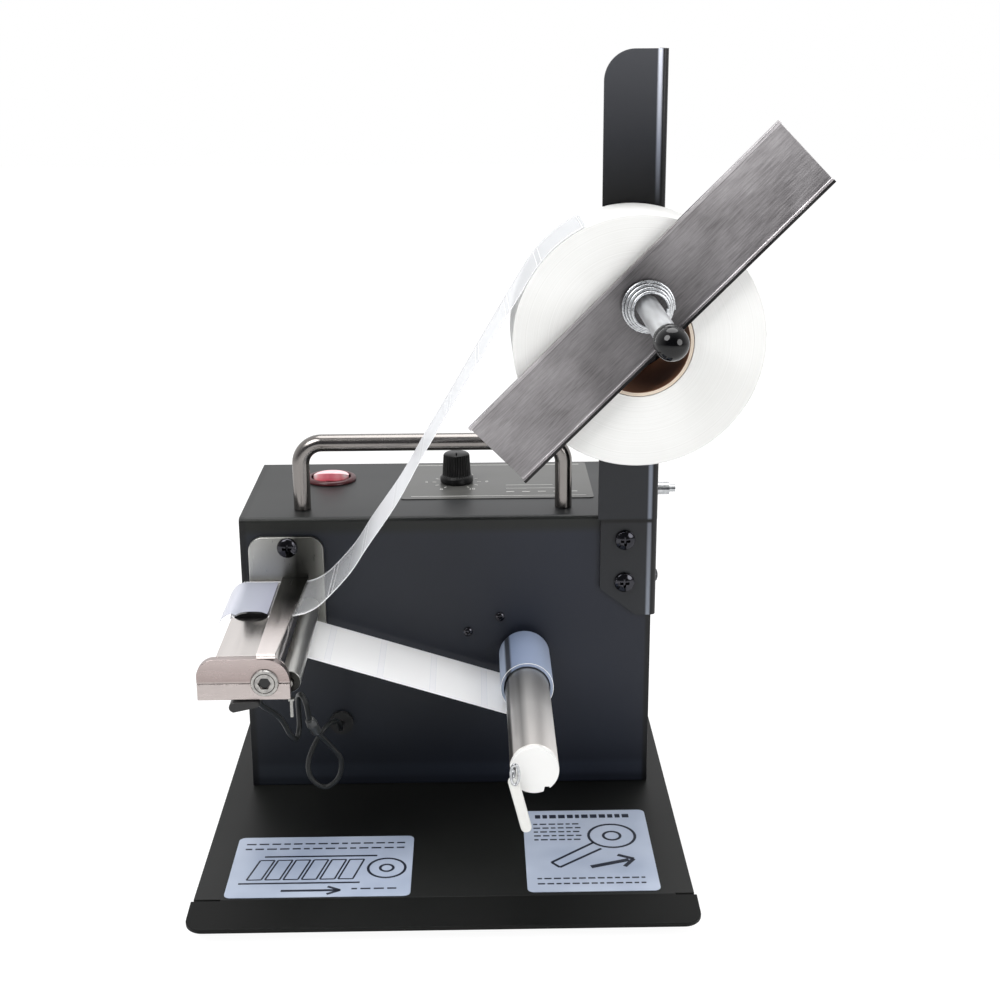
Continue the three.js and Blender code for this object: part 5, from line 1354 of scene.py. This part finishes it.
class DISPENSER_OT_spindle(Piece):
    """Rewind spindle with its plug, wound liner and clip"""

    bl_idname = "dispenser.spindle"
    bl_label = "Spindle"

    def build(self, s):
        (x, z), r = SPINDLE, s["spindle"]
        half, deep = 1.6, 2.6
        gap = math.degrees(math.asin(half / r))
        groove = [(x - r + deep, z + half), (x - r + deep, z - half)]
        notched = outline(arc(x, z, r, -180 + gap, 180 - gap, 120), groove)
        surface = 0.46, (20, 20, 20), 0, 0.04
        # Turned aluminium: a broad soft shine, with painted light and shade: pale at the front,
        # darker towards the housing, and dark in a thin line at the groove on its left side.
        metal = bright_steel("turned_spindle_aluminium", "CFCFCD", "DCDCDA", *surface)
        side = {27.2: "FFFFFF", 27.5: "606060", 28.5: "606060", 29.1: "FFFFFF", 31.4: "FFFFFF"}
        side |= {33: "CCCCCC", 36: "FFFFFF", 43: "FFFFFF", 47.8: "F4F4F4"}
        tint(metal, Y={-127.5: "F0ECE8", -85: "E8E6E4", -50: "AEAEAE", -3: "7C7C7C"}, X=side)
        look = metal, "spindle", "spindle_aluminium"
        piece("spindle_body", look, "spindle_tube", slab(notched, -127.5, -3), bevel=0.3)
        # Moulded nylon: white and satin.
        white = moulded_plastic("white_plug_nylon", *tones("plug"), 0.42)
        corner = math.degrees(math.acos(0.5))
        plug = outline(
            arc(x, z, r, -180 + gap, -corner - 8, 60),
            [(x + r * 0.42, z - r * 0.72), (x + r * 0.62, z - r * 0.72)],
            arc(x, z, r, -corner + 8, 180 - gap, 120),
            groove,
        )
        look = white, "spindle", "plug_plastic"
        piece("plug_face", look, "spindle_plug", slab(plug, -130.8, -127.8), bevel=0.4)
        # Wound liner: blue-grey, with painted shade in a dark band along the ridge over the clip.
        blue = wound_paper("wound_liner_glassine", "7F8DA8", "96A3BC", (x, 0, z), pitch=0.35)
        painted_ridge_shade = {25.1: "8E99AC", 27.2: "8E99AC", 28: "2C3038", 29.6: "2C3038", 30.6: "7A88A2"}
        tint(blue, X=painted_ridge_shade | {40: "8B98B2", 49.9: "98A4BA"})
        a, edge, long, hole = np.radians(np.linspace(0, 90, 5)), 0.35, 41, 10.9
        rim = [WOUND - edge + edge * np.cos(a), long - edge + edge * np.sin(a)]
        profile = outline([(hole, 0), (WOUND, 0)], np.stack(rim, axis=-1), [(hole, long)])
        look = blue, "spindle", "wound_paper"
        rings = turned(profile, (x, -5, z))
        piece("wound_turns", look, "wound_liner", rings, sharp=40, path_closed=True)
        # The liner's cut edges: white and matt.
        pale = moulded_plastic("liner_edge_paper", "F4F4F2", "FCFCFA", 0.6)
        rings = turned(box(11.1, 12.38, 40.4, 40.98), (x, -5, z))
        piece("wound_rim", (pale, "spindle", "wound_paper"), "", rings, sharp=40, path_closed=True)
        self.clip(x, z, r)
        give("output_shaft", metal)

    def clip(self, x, z, r):
        """The clip's wire lies in the groove and turns down at the front into its grip."""
        wire, front = 1.2, -133
        left, bend = x - r + wire, 2 * wire
        turn = arc(front + bend, z - bend, bend, 90, 180, 10)
        course = outline([(-23, z), (-60, z), (-100, z)], turn, [(front, z - 2 * bend)])
        # Spring steel: bright.
        steel = bright_steel("clip_spring_steel", "9A9C9E", "C8CACC", 0.16)
        look = steel, "clip", "clip_steel"
        rings = tube(np.insert(course, 0, left, axis=1), wire, 20)
        piece("clip_wire", look, "liner_clip", rings, sharp=50)
        # Dipped vinyl: off-white and satin.
        white = moulded_plastic("clip_grip_vinyl", "D4D4D0", "DEDEDA", 0.4)
        a = np.append(circle(48), 0)
        eye = [left + 0.9 + 1.7 * np.cos(a), np.full_like(a, -134.6), z + 0.2 + 4.6 * np.sin(a)]
        piece("clip_eye", look, "", tube(np.stack(eye, axis=-1), 0.6, 14), sharp=50)
        angle = math.radians(14)
        u, v = rounded(-2.3, 2.3, -25.2, 0.8, 2.2, 10).T
        flat = np.stack(
            [
                left + u * math.cos(angle) - v * math.sin(angle),
                z - bend + u * math.sin(angle) + v * math.cos(angle),
            ],
            axis=-1,
        )
        look = white, "clip", "clip_steel"
        piece("clip_grip", look, "liner_clip", slab(flat, -134.4, -131.6), bevel=0.9)


class DISPENSER_OT_inside(Piece):
    """Motor, board, transformer, inlet and potentiometer"""

    bl_idname = "dispenser.inside"
    bl_label = "Inside pieces"

    def build(self, s):
        give("gear_motor", bright_steel("zinc_motor_can", "808080", "A0A09E", 0.35))
        give("circuit_board", moulded_plastic("solder_mask", "1E5A32", "28703F", 0.45))
        give("transformer", moulded_plastic("varnished_laminations", "4A4440", "66605C", 0.5))
        give("power_inlet", moulded_plastic("inlet_nylon", "141414", "1E1E1E", 0.35))
        give("potentiometer", bright_steel("plated_bush", "8A8A88", "A8A8A6", 0.3))


GROUPS = (
    DISPENSER_OT_stage,
    DISPENSER_OT_housing,
    DISPENSER_OT_base,
    DISPENSER_OT_controls,
    DISPENSER_OT_handle,
    DISPENSER_OT_upright,
    DISPENSER_OT_axle,
    DISPENSER_OT_guide,
    DISPENSER_OT_roll,
    DISPENSER_OT_web,
    DISPENSER_OT_peeler,
    DISPENSER_OT_sensor,
    DISPENSER_OT_spindle,
    DISPENSER_OT_inside,
)


class DISPENSER_PT_panel(bpy.types.Panel):
    """Lists the groups of pieces, the sizes and the colours"""

    bl_label = "Label dispenser"
    bl_idname = "DISPENSER_PT_panel"
    bl_space_type = "VIEW_3D"
    bl_region_type = "UI"
    bl_category = "Dispenser"

    def draw(self, context):
        for group in GROUPS:
            self.layout.operator(group.bl_idname)
        for key in DispenserSizes.__annotations__:
            self.layout.prop(context.scene.dispenser_sizes, key)
        for key in DispenserColours.__annotations__:
            self.layout.prop(context.scene.dispenser_colours, key)


CLASSES = (DispenserSizes, DispenserColours, *GROUPS, DISPENSER_PT_panel)


def register():
    for kind in CLASSES:
        bpy.utils.register_class(kind)
    bpy.types.Scene.dispenser_sizes = PointerProperty(type=DispenserSizes)
    bpy.types.Scene.dispenser_colours = PointerProperty(type=DispenserColours)


def unregister():
    del bpy.types.Scene.dispenser_sizes, bpy.types.Scene.dispenser_colours
    for kind in reversed(CLASSES):
        bpy.utils.unregister_class(kind)


def main():
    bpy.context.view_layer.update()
    register()
    for group in GROUPS:
        family, name = group.bl_idname.split(".")
        getattr(getattr(bpy.ops, family), name)()


if __name__ == "__main__":
    main()
